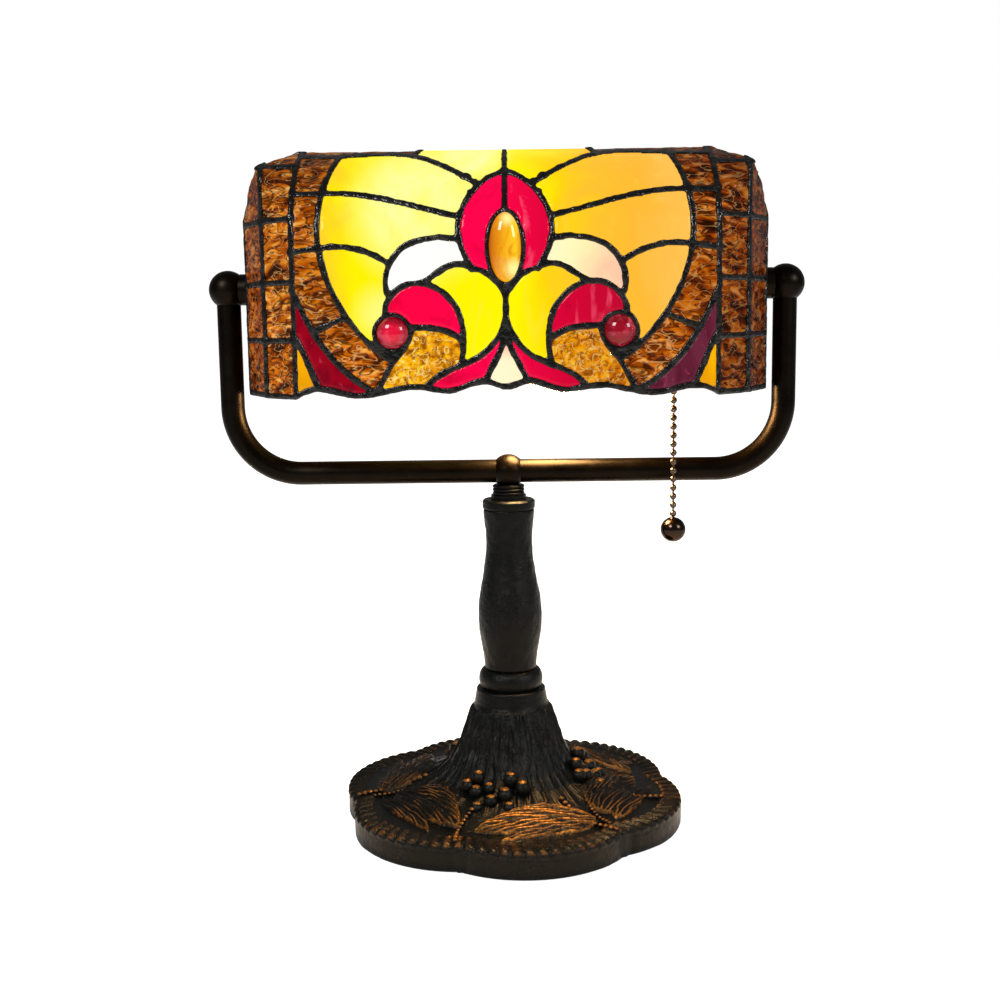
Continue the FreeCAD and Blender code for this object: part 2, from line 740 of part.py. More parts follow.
def make_chain(outlet, place):
    """Hollow beads on short wires, down from the horn's mouth, with a ball knob on the last wire."""
    number = int(size("chain_beads"))
    first = f"({outlet} + chain_start)"
    beads, wires = [], []
    for k in range(number):
        beads.append(sphere(f"bead_{k}", "bead_dia", **place, Z=f"{first} - {k} * bead_pitch"))
    for k in range(number - 1):
        link = cylinder(
            f"bead_wire_{k}_blank", "bead_wire", "bead_pitch", **place,
            Z=f"{first} - {k + 1} * bead_pitch",
        )
        above, below = (
            sphere(f"bead_wire_{k}_{end}", "bead_dia", **place, Z=f"{first} - {k + step} * bead_pitch")
            for step, end in ((0, "above"), (1, "below"))
        )
        wires.append(cut(f"bead_wire_{k}", link, [above, below]))
    group("pull_chain_beads", beads)
    group("pull_chain_wires", wires)
    centre = f"{first} - {number - 1} * bead_pitch - bead_dia / 2 - knob_dia / 2 - 0.1"
    keep(sphere("pull_ball_knob", "knob_dia", **place, Z=centre), "pull_ball_knob")


def make_wire():
    """The wire from the base's inlet up the rod, along the right tube and in to the lamp holder."""
    turn_radius, radius = size("wire_turn"), size("wire_dia") / 2
    bar, pivot = size("bar_height"), size("bar_height") + size("arm_rise")
    reach, bend = size("yoke_span") / 2, size("bend_radius")
    floor = size("inlet_height")
    inlet = INLET_FACE - size("base_wall") - 3
    holder = size("shade_half_length") - size("glass_thick") - 12
    route = [
        (V(0, inlet, floor), 0.0),
        (V(0, 0, floor), 9.0),
        (V(0, 0, bar), turn_radius),
        (V(reach, 0, bar), bend),
        (V(reach, 0, pivot), turn_radius),
        (V(holder, 0, pivot), 0.0),
    ]
    edges, last = [], route[0][0]
    for (before, _), (point, fillet), (after, _) in zip(route, route[1:], route[2:]):
        back = (before - point).normalize()
        ahead = (after - point).normalize()
        enter, leave = point + back * fillet, point + ahead * fillet
        middle = point + (back + ahead) * (fillet * (1 - math.sqrt(0.5)))
        edges.append(Part.LineSegment(last, enter).toShape())
        edges.append(Part.Arc(enter, middle, leave).toShape())
        last = leave
    edges.append(Part.LineSegment(last, route[-1][0]).toShape())
    profile = Part.Wire(Part.Circle(route[0][0], V(0, 1, 0), radius).toShape())
    wire = DOC.addObject("Part::Feature", "inner_wire")
    wire.Shape = Part.Wire(edges).makePipeShell([profile], True, True)
    return keep(wire, "inner_wire")


# ---------------------------------------------------------------- leaded glass shade

# Centre lines of the lead on the left half of the front, x and z from the pivot axis at the shade's
# middle. Each is a smooth curve through its points; the right half and the back repeat them.
LEADS = {
    "outer_arch": [(-74, 60), (-80, 42), (-81.5, 16), (-77, -1), (-70, -14), (-61, -25), (-50, -33.5)],
    "band_outer": [(-93.5, -2), (-90, -10), (-85, -20), (-72.5, -36.5), (-57, -47.5)],
    "swirl_outer": [(-93.5, -21), (-90, -28), (-86, -38), (-80, -50)],
    "upper_row": [(-93.5, 40), (-80.5, 40)],
    "lower_row": [(-93.5, 14.5), (-81.5, 16)],
    "band_joint": [(-85, -20), (-71.5, -14.5)],
    "ray_upper": [(-80.5, 40), (-60, 38.5), (-44, 35), (-20, 29)],
    "ray_lower": [(-81.5, 16), (-67, 16), (-51, 9)],
    "top_strip": [(-93.5, 59), (-68, 59.2), (-42, 58.5), (-28, 53), (-13, 44)],
    "top_end": [(-42, 58.5), (-37, 66)],
    "centre_top": [(0, 66), (0, 31)],
    "crown": [(0, 49.5), (-8, 46), (-15, 39), (-19.5, 30), (-20.5, 23), (-18.5, 14), (-14.5, 6.5)],
    "crown_foot": [(-14.5, 6.5), (-8.5, 4.5), (-3.5, 0), (0, -5)],
    "wing_top": [(-52, -3.5), (-51, 8), (-45, 15.5), (-37, 19), (-27, 20), (-20, 19)],
    "wing_foot": [(-37, 0.5), (-31, 4), (-25, 7.5), (-18, 8.2), (-14.5, 6.5)],
    "hook": [
        (-53, -14), (-50, -4.5), (-43, 0), (-36, 0.3), (-27, -4), (-21, -12), (-18.8, -22), (-20, -35.5),
    ],
    "hook_foot": [(-43, -18.5), (-36, -18.8), (-28.5, -19.8), (-19, -25)],
    "band_end": [(-50, -33.5), (-60, -52)],
    "bowl_side": [(-50, -33.5), (-44.5, -27), (-41.5, -19)],
    "heart": [(0, -16), (-4, -24), (-10, -30.5), (-20, -35.5), (-38, -49)],
    "centre_foot": [(0, -5), (0, -24)],
    "fan": [(0, -20), (-2, -28), (-9, -42), (-11, -52)],
}
# The shade's lower edge, x and z from the pivot axis, from its corner to the middle
SCALLOPS = [(-94, -50), (-81.5, -46.5), (-67, -49.5), (-40, -46), (-23, -47.5), (-9.5, -43.8), (0, -46.2)]
# Rows of the panes round the ends, as heights from the pivot axis
END_ROWS = [53.4, 29, 1.5, -24]
# One point in each kind of pane of the left half, x and z, by the glass it is cut from
GLASS = {
    "glass_yellow": [(-48, 47), (-52, 27), (-66, 2), (-19, 57), (-11, -9)],
    "glass_cream": [(-36, 9), (0, -38)],
    "glass_red": [(-34, -9), (-13, 25), (-17, -39)],
    "glass_wine": [(-83, -34)],
    "glass_ripple": [(-86, 50), (-87, 27), (-83, -3), (-68, -32), (-68, 63), (-50, 63)],
    "glass_granite": [(-35, -32)],
    "glass_amber": [(-89, -43)],
}
END_GLASS = "glass_ripple_ends"
# Where the front's outermost lead lies in the points above; they stretch with the shade's length
PATTERN_HALF = 93.5


def mirrored(points):
    return [(-x, z) for x, z in points]


def pattern_stretch():
    """The front's present half length to its outermost lead, as a share of the pattern's own."""
    return (size("front_half_length") + 1.5) / PATTERN_HALF


def extruded(wire, direction):
    return Part.Face(wire).extrude(direction)


def shade_volume(inset):
    """The solid block of the shade's outside, moved in by an inset: an arched tunnel whose ends are
    cut back in plan and in front view. It runs on below the shade's lower edge."""
    half, depth = size("shade_half_length") - inset, size("shade_half_depth") - inset
    crest, wall, flat = size("shade_crest") - inset, size("wall_top"), size("crest_half_flat")
    floor = -size("shade_drop") - 20
    wide = half + 20
    edges = []
    for side in (-1, 1):
        points = []
        for k in range(7):
            angle = math.radians(15 * k)
            points.append(
                V(
                    -wide,
                    side * (flat + (depth - flat) * math.cos(angle)),
                    wall + (crest - wall) * math.sin(angle),
                )
            )
        curve = Part.BSplineCurve()
        curve.interpolate(Points=points, InitialTangent=V(0, 0, 1), FinalTangent=V(0, -side, 0))
        edges.append(curve.toShape())
        low, high = V(-wide, side * depth, floor), V(-wide, side * depth, wall)
        edges.append(Part.LineSegment(low, high).toShape())
    edges.append(Part.LineSegment(V(-wide, -flat, crest), V(-wide, flat, crest)).toShape())
    edges.append(Part.LineSegment(V(-wide, -depth, floor), V(-wide, depth, floor)).toShape())
    tunnel = extruded(Part.Wire(Part.__sortEdges__(edges)), V(2 * wide, 0, 0))

    top, side_top = size("shade_crest"), size("end_wall_top")
    rise = top - side_top
    front_view = [
        (half, floor), (half, side_top), (half - 0.14 * rise, side_top + 0.44 * rise - inset / 2),
        (half - 0.38 * rise, side_top + 0.74 * rise - inset / 2), (half - 0.86 * rise, top - inset / 2),
        (half - 1.1 * rise, top + 0.13 * rise - inset / 2),
    ]
    outline = [V(x, -wide, z) for x, z in front_view] + [V(-x, -wide, z) for x, z in reversed(front_view)]
    silhouette = extruded(Part.makePolygon(outline + outline[:1]), V(0, 2 * wide, 0))

    long, corner, corner_y = size("front_half_length"), size("corner_length"), size("corner_depth")
    front_y = size("shade_half_depth")
    step = (corner - long) / (front_y - corner_y)
    plan = [
        (half, size("end_half_depth") - inset / 4), (corner - inset * 0.8, corner_y - inset * 0.6),
        (long - inset * 0.3, front_y - inset), (long - 4 * step, front_y + 4 - inset),
    ]
    corners = plan + [(-x, y) for x, y in reversed(plan)]
    corners += [(-x, -y) for x, y in plan] + [(x, -y) for x, y in reversed(plan)]
    outline = [V(x, y, floor - 1) for x, y in corners]
    footprint = extruded(Part.makePolygon(outline + outline[:1]), V(0, 0, top - floor + 30))
    return tunnel.common(silhouette).common(footprint)


def curve_through(points):
    """A smooth edge in the plane y = 0 through points given as x and z."""
    if len(points) == 2:
        start, end = (V(x, 0, z) for x, z in points)
        return Part.LineSegment(start, end).toShape()
    curve = Part.BSplineCurve()
    curve.interpolate([V(x, 0, z) for x, z in points])
    return curve.toShape()


def strip(edge, width, back, reach):
    """A band of one width along an edge, as a prism through the shade's depth. It runs on past both
    ends by half its width, so that bands that meet there overlap."""
    sides = ([], [])
    count = 1 if isinstance(edge.Curve, Part.Line) else 8
    first, last = edge.FirstParameter, edge.LastParameter
    for k in range(count + 1):
        at = first + (last - first) * k / count
        along = edge.tangentAt(at)
        centre = edge.valueAt(at)
        if k == 0:
            centre -= along * (width / 2)
        if k == count:
            centre += along * (width / 2)
        across = V(-along.z, 0, along.x) * (width / 2)
        sides[0].append(centre + across)
        sides[1].append(centre - across)
    edges = []
    for side in sides:
        if count == 1:
            edges.append(Part.LineSegment(*side).toShape())
            continue
        curve = Part.BSplineCurve()
        curve.interpolate(side)
        edges.append(curve.toShape())
    edges.append(Part.LineSegment(sides[0][0], sides[1][0]).toShape())
    edges.append(Part.LineSegment(sides[0][-1], sides[1][-1]).toShape())
    band = extruded(Part.Wire(Part.__sortEdges__(edges)), V(0, reach, 0))
    band.translate(V(0, back, 0))
    return band


def slab(x0, x1, y0, y1, z0, z1):
    return Part.makeBox(x1 - x0, y1 - y0, z1 - z0, V(x0, y0, z0))


def lead_strips(width):
    """Every band of lead as prisms: the pattern's curves, the jewels' rims and the end rows."""
    reach = size("shade_half_depth") + 10
    bands = []
    stretch = pattern_stretch()
    for marks in LEADS.values():
        points = [(x * stretch, z) for x, z in marks]
        for side in (points, mirrored(points)) if any(x for x, _ in points) else (points,):
            bands.append(strip(curve_through(side), width, -reach, 2 * reach))
    end, crest, drop = size("shade_half_length") + 5, size("shade_crest") + 5, size("shade_drop") + 5
    first, half = size("front_half_length") + 1.5, width / 2
    corner, corner_y = size("corner_length"), size("end_half_depth")
    for side in (-1, 1):
        for x in (side * first, side * corner):
            bands.append(slab(x - half, x + half, -reach, reach, -drop, crest))
        low, high = sorted((side * first, side * end))
        for row in END_ROWS:
            bands.append(slab(low, high, -reach, reach, row - half, row + half))
        for y in (-corner_y, corner_y):
            bands.append(slab(low, high, y - half, y + half, -drop, crest))
    bands.append(slab(-first, first, -half, half, size("shade_crest") - 20, crest))
    return bands, reach


def jewel_prisms(reach, grow):
    """Prisms through the three jewels' seats, grown by a margin."""
    seats = []
    oval = Part.Ellipse(V(0, 0, 0), size("oval_half_height") + grow, size("oval_half_width") + grow)
    shape = oval.toShape()
    shape.rotate(V(0, 0, 0), V(0, 0, 1), 90)
    shape.rotate(V(0, 0, 0), V(1, 0, 0), 90)
    shape.translate(V(0, -reach, size("oval_height")))
    seats.append(extruded(Part.Wire(shape), V(0, 2 * reach, 0)))
    for side in (-1, 1):
        centre = V(side * size("round_offset"), -reach, size("round_height"))
        seats.append(Part.makeCylinder(size("round_radius") + grow, 2 * reach, centre, V(0, 1, 0)))
    return seats


def lower_edge(lift):
    """Everything below the scalloped lower edge, raised by a lift."""
    reach = size("shade_half_depth") + 20
    end, floor = size("shade_half_length") + 20, -size("shade_drop") - 40
    stretch = pattern_stretch()
    points = [(x * stretch, z) for x, z in SCALLOPS + list(reversed(mirrored(SCALLOPS[:-1])))]
    curve = Part.BSplineCurve()
    curve.interpolate([V(x, -reach, z + lift) for x, z in points])
    wave = curve.toShape()
    corner, level = points[-1][0], points[-1][1] + lift
    box_line = [V(corner, -reach, level), V(end, -reach, level), V(end, -reach, floor),
                V(-end, -reach, floor), V(-end, -reach, level), V(-corner, -reach, level)]
    edges = [wave] + Part.makePolygon(box_line).Edges
    return extruded(Part.Wire(Part.__sortEdges__(edges)), V(0, 2 * reach, 0))


def glass_name(centre):
    """The glass that the pane round this point is cut from, by the nearest marked point."""
    if abs(centre.x) > size("front_half_length"):
        return END_GLASS
    best = {}
    for name, marks in GLASS.items():
        x_marked = -abs(centre.x) / pattern_stretch()
        best[name] = min(math.hypot(x_marked - x, centre.z - z) for x, z in marks)
    return min(best, key=best.get)


def make_shade():
    """Panes of glass, the lead that joins them, the rim wire and the jewels of the tilting shade."""
    proud, glass = size("came_proud"), size("glass_thick")
    width = size("came_width")
    bands, reach = lead_strips(width)
    seats = jewel_prisms(reach, 0)
    rims = jewel_prisms(reach, width * 0.8)
    ends = []
    plate_depth = 4 * (glass + proud)
    for side in (-1, 1):
        start = V(side * size("shade_half_length") - plate_depth / 2, 0, 0)
        ends.append(Part.makeCylinder(size("end_plate_dia") / 2, plate_depth, start, V(1, 0, 0)))
    pattern = bands[0].fuse(bands[1:] + rims)
    below = lower_edge(0)
    hem = lower_edge(width)
    outer = shade_volume(0).cut(shade_volume(glass))
    thick = shade_volume(-proud).cut(shade_volume(glass + proud))
    thick = thick.cut(below)
    lead = thick.common(pattern.fuse(hem)).cut(Part.makeCompound(seats + ends))
    panes = outer.cut(hem).cut(pattern).cut(Part.makeCompound(seats + ends))

    place = V(0, 0, size("bar_height") + size("arm_rise"))
    groups = {}
    small = width * width * glass
    for pane in panes.Solids:
        if pane.Volume < small:
            continue
        name = glass_name(pane.CenterOfMass)
        if name != END_GLASS:
            name += "_front" if pane.CenterOfMass.y < 0 else "_back"
        else:
            name += "_right" if pane.CenterOfMass.x > 0 else "_left"
        groups.setdefault(name, []).append(pane)
    for name, solids in sorted(groups.items()):
        sheet_glass = DOC.addObject("Part::Feature", name)
        sheet_glass.Shape = Part.makeCompound(solids)
        sheet_glass.Placement = FreeCAD.Placement(place, FreeCAD.Rotation())
        keep(sheet_glass, name)
    lead_solids = [s for s in lead.Solids if s.Volume > small]
    came = DOC.addObject("Part::Feature", "lead_came")
    came.Shape = Part.makeCompound(lead_solids)
    came.Placement = FreeCAD.Placement(place, FreeCAD.Rotation())
    keep(came, "lead_came")
    make_jewels()


def make_jewels():
    """Domed jewels in the front and the back: one oval and a round one each side of it."""
    seat = "(shade_half_depth - glass_thick / 2)"
    axis_z = "bar_height + arm_rise"
    ovals, rounds = [], []
    for side, name in ((-1, "front"), (1, "back")):
        oval = DOC.addObject("Part::Ellipsoid", f"oval_jewel_{name}")
        bind(
            oval, Radius1="oval_half_height - jewel_gap", Radius2="oval_half_width - jewel_gap",
            Radius3="jewel_rise", Y=f"{side} * ({seat} - 0.6)", Z=f"{axis_z} + oval_height",
        )
        ovals.append(oval)
        for end, hand in ((-1, "left"), (1, "right")):
            stone = DOC.addObject("Part::Ellipsoid", f"round_jewel_{name}_{hand}")
            bind(
                stone, Radius1="round_radius - jewel_gap", Radius2="round_radius - jewel_gap",
                Radius3="jewel_rise", X=f"{end} * round_offset", Y=f"{side} * {seat}",
                Z=f"{axis_z} + round_height",
            )
            rounds.append(stone)
    group("oval_jewels", ovals)
    group("round_jewels", rounds)


# ---------------------------------------------------------------- the whole lamp

# The base's back face at the middle, where the outline of the nearest lobe crosses the YZ plane
LOBE_OFFSET = size("base_radius") - size("lobe_radius")
LOBE_ANGLE = math.radians(102)
INLET_FACE = LOBE_OFFSET * math.sin(LOBE_ANGLE) + math.sqrt(
    size("lobe_radius") ** 2 - (LOBE_OFFSET * math.cos(LOBE_ANGLE)) ** 2
)
for alias, rule in (
    ("inlet_face_y", "=(base_radius - lobe_radius) * sin(102 deg) + sqrt(lobe_radius^2"
                     " - ((base_radius - lobe_radius) * cos(102 deg))^2)"),
):
    row = len(SIZES) + 1
    SIZES[alias] = rule
    SHEET.set(f"A{row}", alias)
    SHEET.set(f"B{row}", rule)
    SHEET.setAlias(f"B{row}", alias)
DOC.recompute()

make_base()
make_hub(make_stem())
make_tube("yoke_tube_right", 1)
make_tube("yoke_tube_left", -1)
for label, pair in zip(("pivot_discs", "pivot_washers", "pivot_nuts"), zip(make_end(1), make_end(-1))):
    group(label, list(pair))
make_holder()
make_wire()
make_shade()

DOC.recompute()
for thing in DOC.Objects:
    if "Invalid" in thing.State or "Error" in thing.State:
        raise RuntimeError(f"{thing.Label} failed: {thing.State}")
for thing in PARTS:
    if thing.Shape.isNull() or not thing.Shape.isValid() or not thing.Shape.Solids:
        raise RuntimeError(f"{thing.Label} has no valid solid")

os.makedirs("parts", exist_ok=True)
for thing in PARTS:
    thing.Shape.exportStep(os.path.join("parts", thing.Label + ".step"))
    bounds = thing.Shape.BoundBox
    print(
        f"{thing.Label:26s} solids {len(thing.Shape.Solids):3d}  volume {thing.Shape.Volume:10.1f}  "
        f"x {bounds.XMin:8.2f} {bounds.XMax:8.2f}  y {bounds.YMin:8.2f} {bounds.YMax:8.2f}  "
        f"z {bounds.ZMin:8.2f} {bounds.ZMax:8.2f}"
    )
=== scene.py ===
import bmesh
import bpy
import json
import math
import numpy as np
from mathutils import Matrix, Vector


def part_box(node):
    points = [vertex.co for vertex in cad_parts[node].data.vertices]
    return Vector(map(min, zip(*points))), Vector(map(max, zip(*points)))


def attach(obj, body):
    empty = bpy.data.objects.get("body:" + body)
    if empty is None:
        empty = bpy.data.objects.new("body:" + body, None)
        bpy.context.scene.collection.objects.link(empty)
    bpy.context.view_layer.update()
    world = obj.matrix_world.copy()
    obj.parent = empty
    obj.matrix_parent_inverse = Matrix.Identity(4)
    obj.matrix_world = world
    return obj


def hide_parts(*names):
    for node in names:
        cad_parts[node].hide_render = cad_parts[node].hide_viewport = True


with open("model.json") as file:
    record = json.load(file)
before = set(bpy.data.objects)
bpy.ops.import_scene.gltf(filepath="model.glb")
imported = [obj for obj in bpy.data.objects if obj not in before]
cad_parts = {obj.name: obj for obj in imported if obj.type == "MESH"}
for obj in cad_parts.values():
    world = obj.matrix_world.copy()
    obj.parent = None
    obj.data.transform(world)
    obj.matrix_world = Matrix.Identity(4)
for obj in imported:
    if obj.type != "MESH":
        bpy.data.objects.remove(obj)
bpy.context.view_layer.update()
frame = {"nodes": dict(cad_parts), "record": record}

MM = 0.001
PIVOT_Z = 266.5  # height of the shade's pivots, where the shade's own x, z start
BASE_RADIUS, LOBE_RADIUS, BASE_LIFT = 86.0, 54.0, 0.8
# The shade's outline: heights from the pivots, then half lengths and half depths on the plan
WALL_TOP, CREST, CREST_FLAT = 16.0, 62.6, 7.0
FRONT_HALF, CORNER, END_HALF = 92.0, 109.2, 122.4
DEPTH, CORNER_DEPTH, END_DEPTH = 64.0, 47.0, 18.0

# Where lead lines meet or end on the left half of one face, x and z from the pivots
JOINTS = [
    (-80, 42), (-81.5, 16), (-50, -33.5), (-93.5, -2), (-85, -20), (-93.5, -21), (-93.5, 40),
    (-80.5, 40), (-93.5, 14.5), (-71.5, -14.5), (-20, 29), (-51, 9), (-13, 44), (0, 31), (0, 49.5),
    (-14.5, 6.5), (0, -5), (-52, -3.5), (-20, 19), (-37, 0.5), (-53, -14), (-20, -35.5),
    (-43, -18.5), (-19, -25), (-41.5, -19), (0, -16), (0, -24), (-50, -4.5), (-18.8, -22),
    (-8.5, 4.5), (-15, 39),
]
# Heights of the lead between the panes round the ends, and the first column of panes that they cross
END_ROWS = [29, 1.5, -24]
COLUMN = 93.5


# ------------------------------------------------------------------ shapes
def lattice(cell, seed):
    """A repeatable value from 0 to 1 for each whole-number cell."""
    mixed = np.sin(cell @ np.array([127.1, 311.7, 74.7]) + seed * 17.3) * 43758.5453
    return mixed - np.floor(mixed)


def noise(points, size, seed=0):
    """Smooth noise from -1 to 1 with features of the given size, or sizes along x, y and z."""
    place = points / np.asarray(size, float)
    base = np.floor(place)
    part = place - base
    part = part * part * (3 - 2 * part)
    total = np.zeros(len(points))
    for corner in np.ndindex(2, 2, 2):
        weight = np.prod(np.where(np.array(corner, bool), part, 1 - part), axis=1)
        total += weight * lattice(base + np.array(corner), seed)
    return total * 2 - 1


def piece(name, points, faces, body, smooth=True):
    """A new object from points in millimetres, which rides on a body."""
    mesh = bpy.data.meshes.new(name)
    mesh.from_pydata((np.asarray(points) * MM).tolist(), [], [list(map(int, f)) for f in faces])
    mesh.update()
    mesh.shade_smooth() if smooth else mesh.shade_flat()
    thing = bpy.data.objects.new(name, mesh)
    bpy.context.scene.collection.objects.link(thing)
    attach(thing, body)
    return thing


def get_points(mesh):
    flat = np.empty(len(mesh.vertices) * 3)
    mesh.vertices.foreach_get("co", flat)
    return flat.reshape(-1, 3) / MM


def set_points(mesh, points):
    mesh.vertices.foreach_set("co", (points * MM).ravel())
    mesh.update()


def get_normals(mesh):
    flat = np.empty(len(mesh.vertices) * 3, np.float32)
    mesh.vertex_normals.foreach_get("vector", flat)
    return flat.reshape(-1, 3).astype(float)


def set_value(mesh, name, values):
    """Stores one number per point for a material to read."""
    layer = mesh.attributes.new(name, "FLOAT", "POINT")
    layer.data.foreach_set("value", np.asarray(values, np.float32))


def ball_mesh(centre, radius, squash=(1, 1, 1), rows=10, around=16):
    """Points and faces of one closed ball."""
    points, faces = [], []
    for row in range(rows + 1):
        a = math.pi * row / rows
        for k in range(around):
            b = 2 * math.pi * k / around
            points.append((
                centre[0] + radius * squash[0] * math.sin(a) * math.cos(b),
                centre[1] + radius * squash[1] * math.sin(a) * math.sin(b),
                centre[2] + radius * squash[2] * math.cos(a),
            ))
    for row in range(rows):
        for k in range(around):
            p, q = row * around + k, row * around + (k + 1) % around
            if row == 0:
                faces.append((p, p + around, q + around))
            elif row == rows - 1:
                faces.append((p, p + around, q))
            else:
                faces.append((p, p + around, q + around, q))
    return points, faces


def joined(shapes):
    """Several (points, faces) put into one."""
    points, faces = [], []
    for more, sides in shapes:
        start = len(points)
        points.extend(more)
        faces.extend(tuple(start + i for i in side) for side in sides)
    return points, faces


def recast(name, nodes, body, voxel, extra=(), smooth=2):
    """A new piece on the shape of some CAD nodes: joined, with any extra shapes, and remeshed evenly."""
    work = bmesh.new()
    for node in nodes:
        work.from_mesh(frame["nodes"][node].data)
    for points, faces in extra:
        corners = [work.verts.new(Vector(p) * MM) for p in points]
        for side in faces:
            work.faces.new([corners[i] for i in side])
    mesh = bpy.data.meshes.new(name)
    work.to_mesh(mesh)
    work.free()
    mesh.materials.clear()
    thing = bpy.data.objects.new(name, mesh)
    bpy.context.scene.collection.objects.link(thing)
    remesh = thing.modifiers.new("even", "REMESH")
    remesh.mode = "VOXEL"
    remesh.voxel_size = voxel * MM
    if smooth:
        relax = thing.modifiers.new("relax", "SMOOTH")
        relax.factor = 0.5
        relax.iterations = smooth
    done = bpy.data.meshes.new_from_object(thing.evaluated_get(bpy.context.evaluated_depsgraph_get()))
    thing.modifiers.clear()
    thing.data = done
    done.name = name
    done.shade_smooth()
    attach(thing, body)
    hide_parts(*nodes)
    return thing


def cad_limits(nodes):
    """The box of some CAD nodes, in millimetres."""
    boxes = [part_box(node) for node in nodes]
    low = np.min([np.array(b[0]) for b in boxes], axis=0) / MM
    high = np.max([np.array(b[1]) for b in boxes], axis=0) / MM
    return low, high


# ------------------------------------------------------------------ materials
def linear(colour):
    """A 0-255 screen colour as the light values that the nodes use."""
    values = [c / 255 for c in colour]
    return tuple(v / 12.92 if v <= 0.04045 else ((v + 0.055) / 1.055) ** 2.4 for v in values) + (1.0,)


def add(tree, kind, out=0, props=None, **inputs):
    """A node with its sockets filled: _0 means the first, and a name has _ for each space."""
    node = tree.nodes.new("ShaderNode" + kind)
    for key, value in (props or {}).items():
        setattr(node, key, value)
    for key, value in inputs.items():
        socket = node.inputs[int(key[1:])] if key[0] == "_" else node.inputs[key.replace("_", " ")]
        if isinstance(value, bpy.types.NodeSocket):
            tree.links.new(value, socket)
        else:
            socket.default_value = value
    return node.outputs[out]


def maths(tree, how, a, b=0.0, clamp=False):
    return add(tree, "Math", props={"operation": how, "use_clamp": clamp}, _0=a, _1=b)


def mapped(tree, value, low, high, to_low=0.0, to_high=1.0, smooth=False):
    props = {"interpolation_type": "SMOOTHSTEP"} if smooth else {}
    return add(tree, "MapRange", props=props, Value=value, From_Min=low, From_Max=high,
               To_Min=to_low, To_Max=to_high)


def mixed(tree, factor, first, second, how="MIX"):
    """One colour over another."""
    node = tree.nodes.new("ShaderNodeMix")
    node.data_type = "RGBA"
    node.blend_type = how
    for socket, value in ((node.inputs[0], factor), (node.inputs[6], first), (node.inputs[7], second)):
        if isinstance(value, bpy.types.NodeSocket):
            tree.links.new(value, socket)
        else:
            socket.default_value = value
    return node.outputs[2]


def ramp(tree, factor, stops):
    node = tree.nodes.new("ShaderNodeValToRGB")
    band = node.color_ramp
    while len(band.elements) < len(stops):
        band.elements.new(0.5)
    for element, (place, colour) in zip(band.elements, stops):
        element.position = place
        element.color = linear(colour) if len(colour) == 3 else colour
    tree.links.new(factor, node.inputs[0])
    return node.outputs[0]


def material(name):
    """A new material with its tree, its Principled shader and the object's own coordinates."""
    made = bpy.data.materials.new(name)
    made.use_nodes = True
    tree = made.node_tree
    tree.nodes.clear()
    shader = tree.nodes.new("ShaderNodeBsdfPrincipled")
    end = tree.nodes.new("ShaderNodeOutputMaterial")
    tree.links.new(shader.outputs[0], end.inputs["Surface"])
    place = add(tree, "TexCoord", out=3)
    return made, tree, shader, place


def fill(tree, shader, **inputs):
    """Fills sockets of a shader by name, with links or values."""
    for key, value in inputs.items():
        socket = shader.inputs[key.replace("_", " ")]
        if isinstance(value, bpy.types.NodeSocket):
            tree.links.new(value, socket)
        else:
            socket.default_value = value


def scaled(tree, place, scale):
    return add(tree, "VectorMath", props={"operation": "MULTIPLY"}, _0=place, _1=scale)


def bump(tree, height, depth):
    return add(tree, "Bump", Height=height, Distance=depth, Strength=1.0)


def dark_metal(name, dark, warm, rough, grain=900, metallic=1.0, depth=0.00008, wear_and_glow_colour=None, level=0.5):
    """A dark patinated metal: mottled, finely pitted, with rubbed edges and painted lamp glow where the
    mesh stores them.
    """
    made, tree, shader, place = material(name)
    cloud = add(tree, "TexNoise", Vector=place, Scale=45.0, Detail=5.0, Roughness=0.6)
    grit = add(tree, "TexNoise", Vector=place, Scale=float(grain), Detail=4.0, Roughness=0.65)
    colour = mixed(tree, mapped(tree, cloud, 0.35, 0.7), linear(dark), linear(warm))
    roughness = mapped(tree, maths(tree, "ADD", cloud, grit), 0.7, 1.3, rough - 0.09, rough + 0.12)
    if wear_and_glow_colour is not None:
        # The stored value is partly real wear on raised edges and partly painted light: a golden lamp glow
        # on the base's front, and painted highlights on bead and berry tops.
        wear_and_glow = add(tree, "Attribute", out=2, props={"attribute_name": "wear_and_glow"})
        broken = mapped(tree, grit, 0.32, 0.62, 0.25, 1.0)
        wear_and_glow = maths(tree, "MULTIPLY", wear_and_glow, broken, clamp=True)
        colour = mixed(tree, wear_and_glow, colour, linear(wear_and_glow_colour))
        roughness = mixed(tree, wear_and_glow, roughness, (0.34, 0.34, 0.34, 1.0))
        metallic = mapped(tree, wear_and_glow, 0.0, 0.5, metallic, 0.85)
    fill(tree, shader, Base_Color=colour, Metallic=metallic, Roughness=roughness,
         Normal=bump(tree, grit, depth))
    shader.inputs["Specular IOR Level"].default_value = level
    return made


def plain_stuff(name, first, second, rough, scale=300.0, metallic=0.0, depth=0.0001):
    """A general material with mottling and grain, for the parts that are seldom seen."""
    made, tree, shader, place = material(name)
    cloud = add(tree, "TexNoise", Vector=place, Scale=scale, Detail=6.0, Roughness=0.6)
    colour = mixed(tree, mapped(tree, cloud, 0.3, 0.7), linear(first), linear(second))
    fill(tree, shader, Base_Color=colour, Metallic=metallic,
         Roughness=mapped(tree, cloud, 0.3, 0.7, rough - 0.06, rough + 0.08),
         Normal=bump(tree, cloud, depth))
    return made


def spot(tree, flat, x, z, radius, inner=0.0):
    """1 around a point of the shade's face, falling to 0 at the radius."""
    centre = (x * MM, 0.0, (PIVOT_Z + z) * MM)
    away = add(tree, "VectorMath", out=1, props={"operation": "DISTANCE"}, _0=flat, _1=centre)
    return mapped(tree, away, inner * MM, radius * MM, 1.0, 0.0, smooth=True)


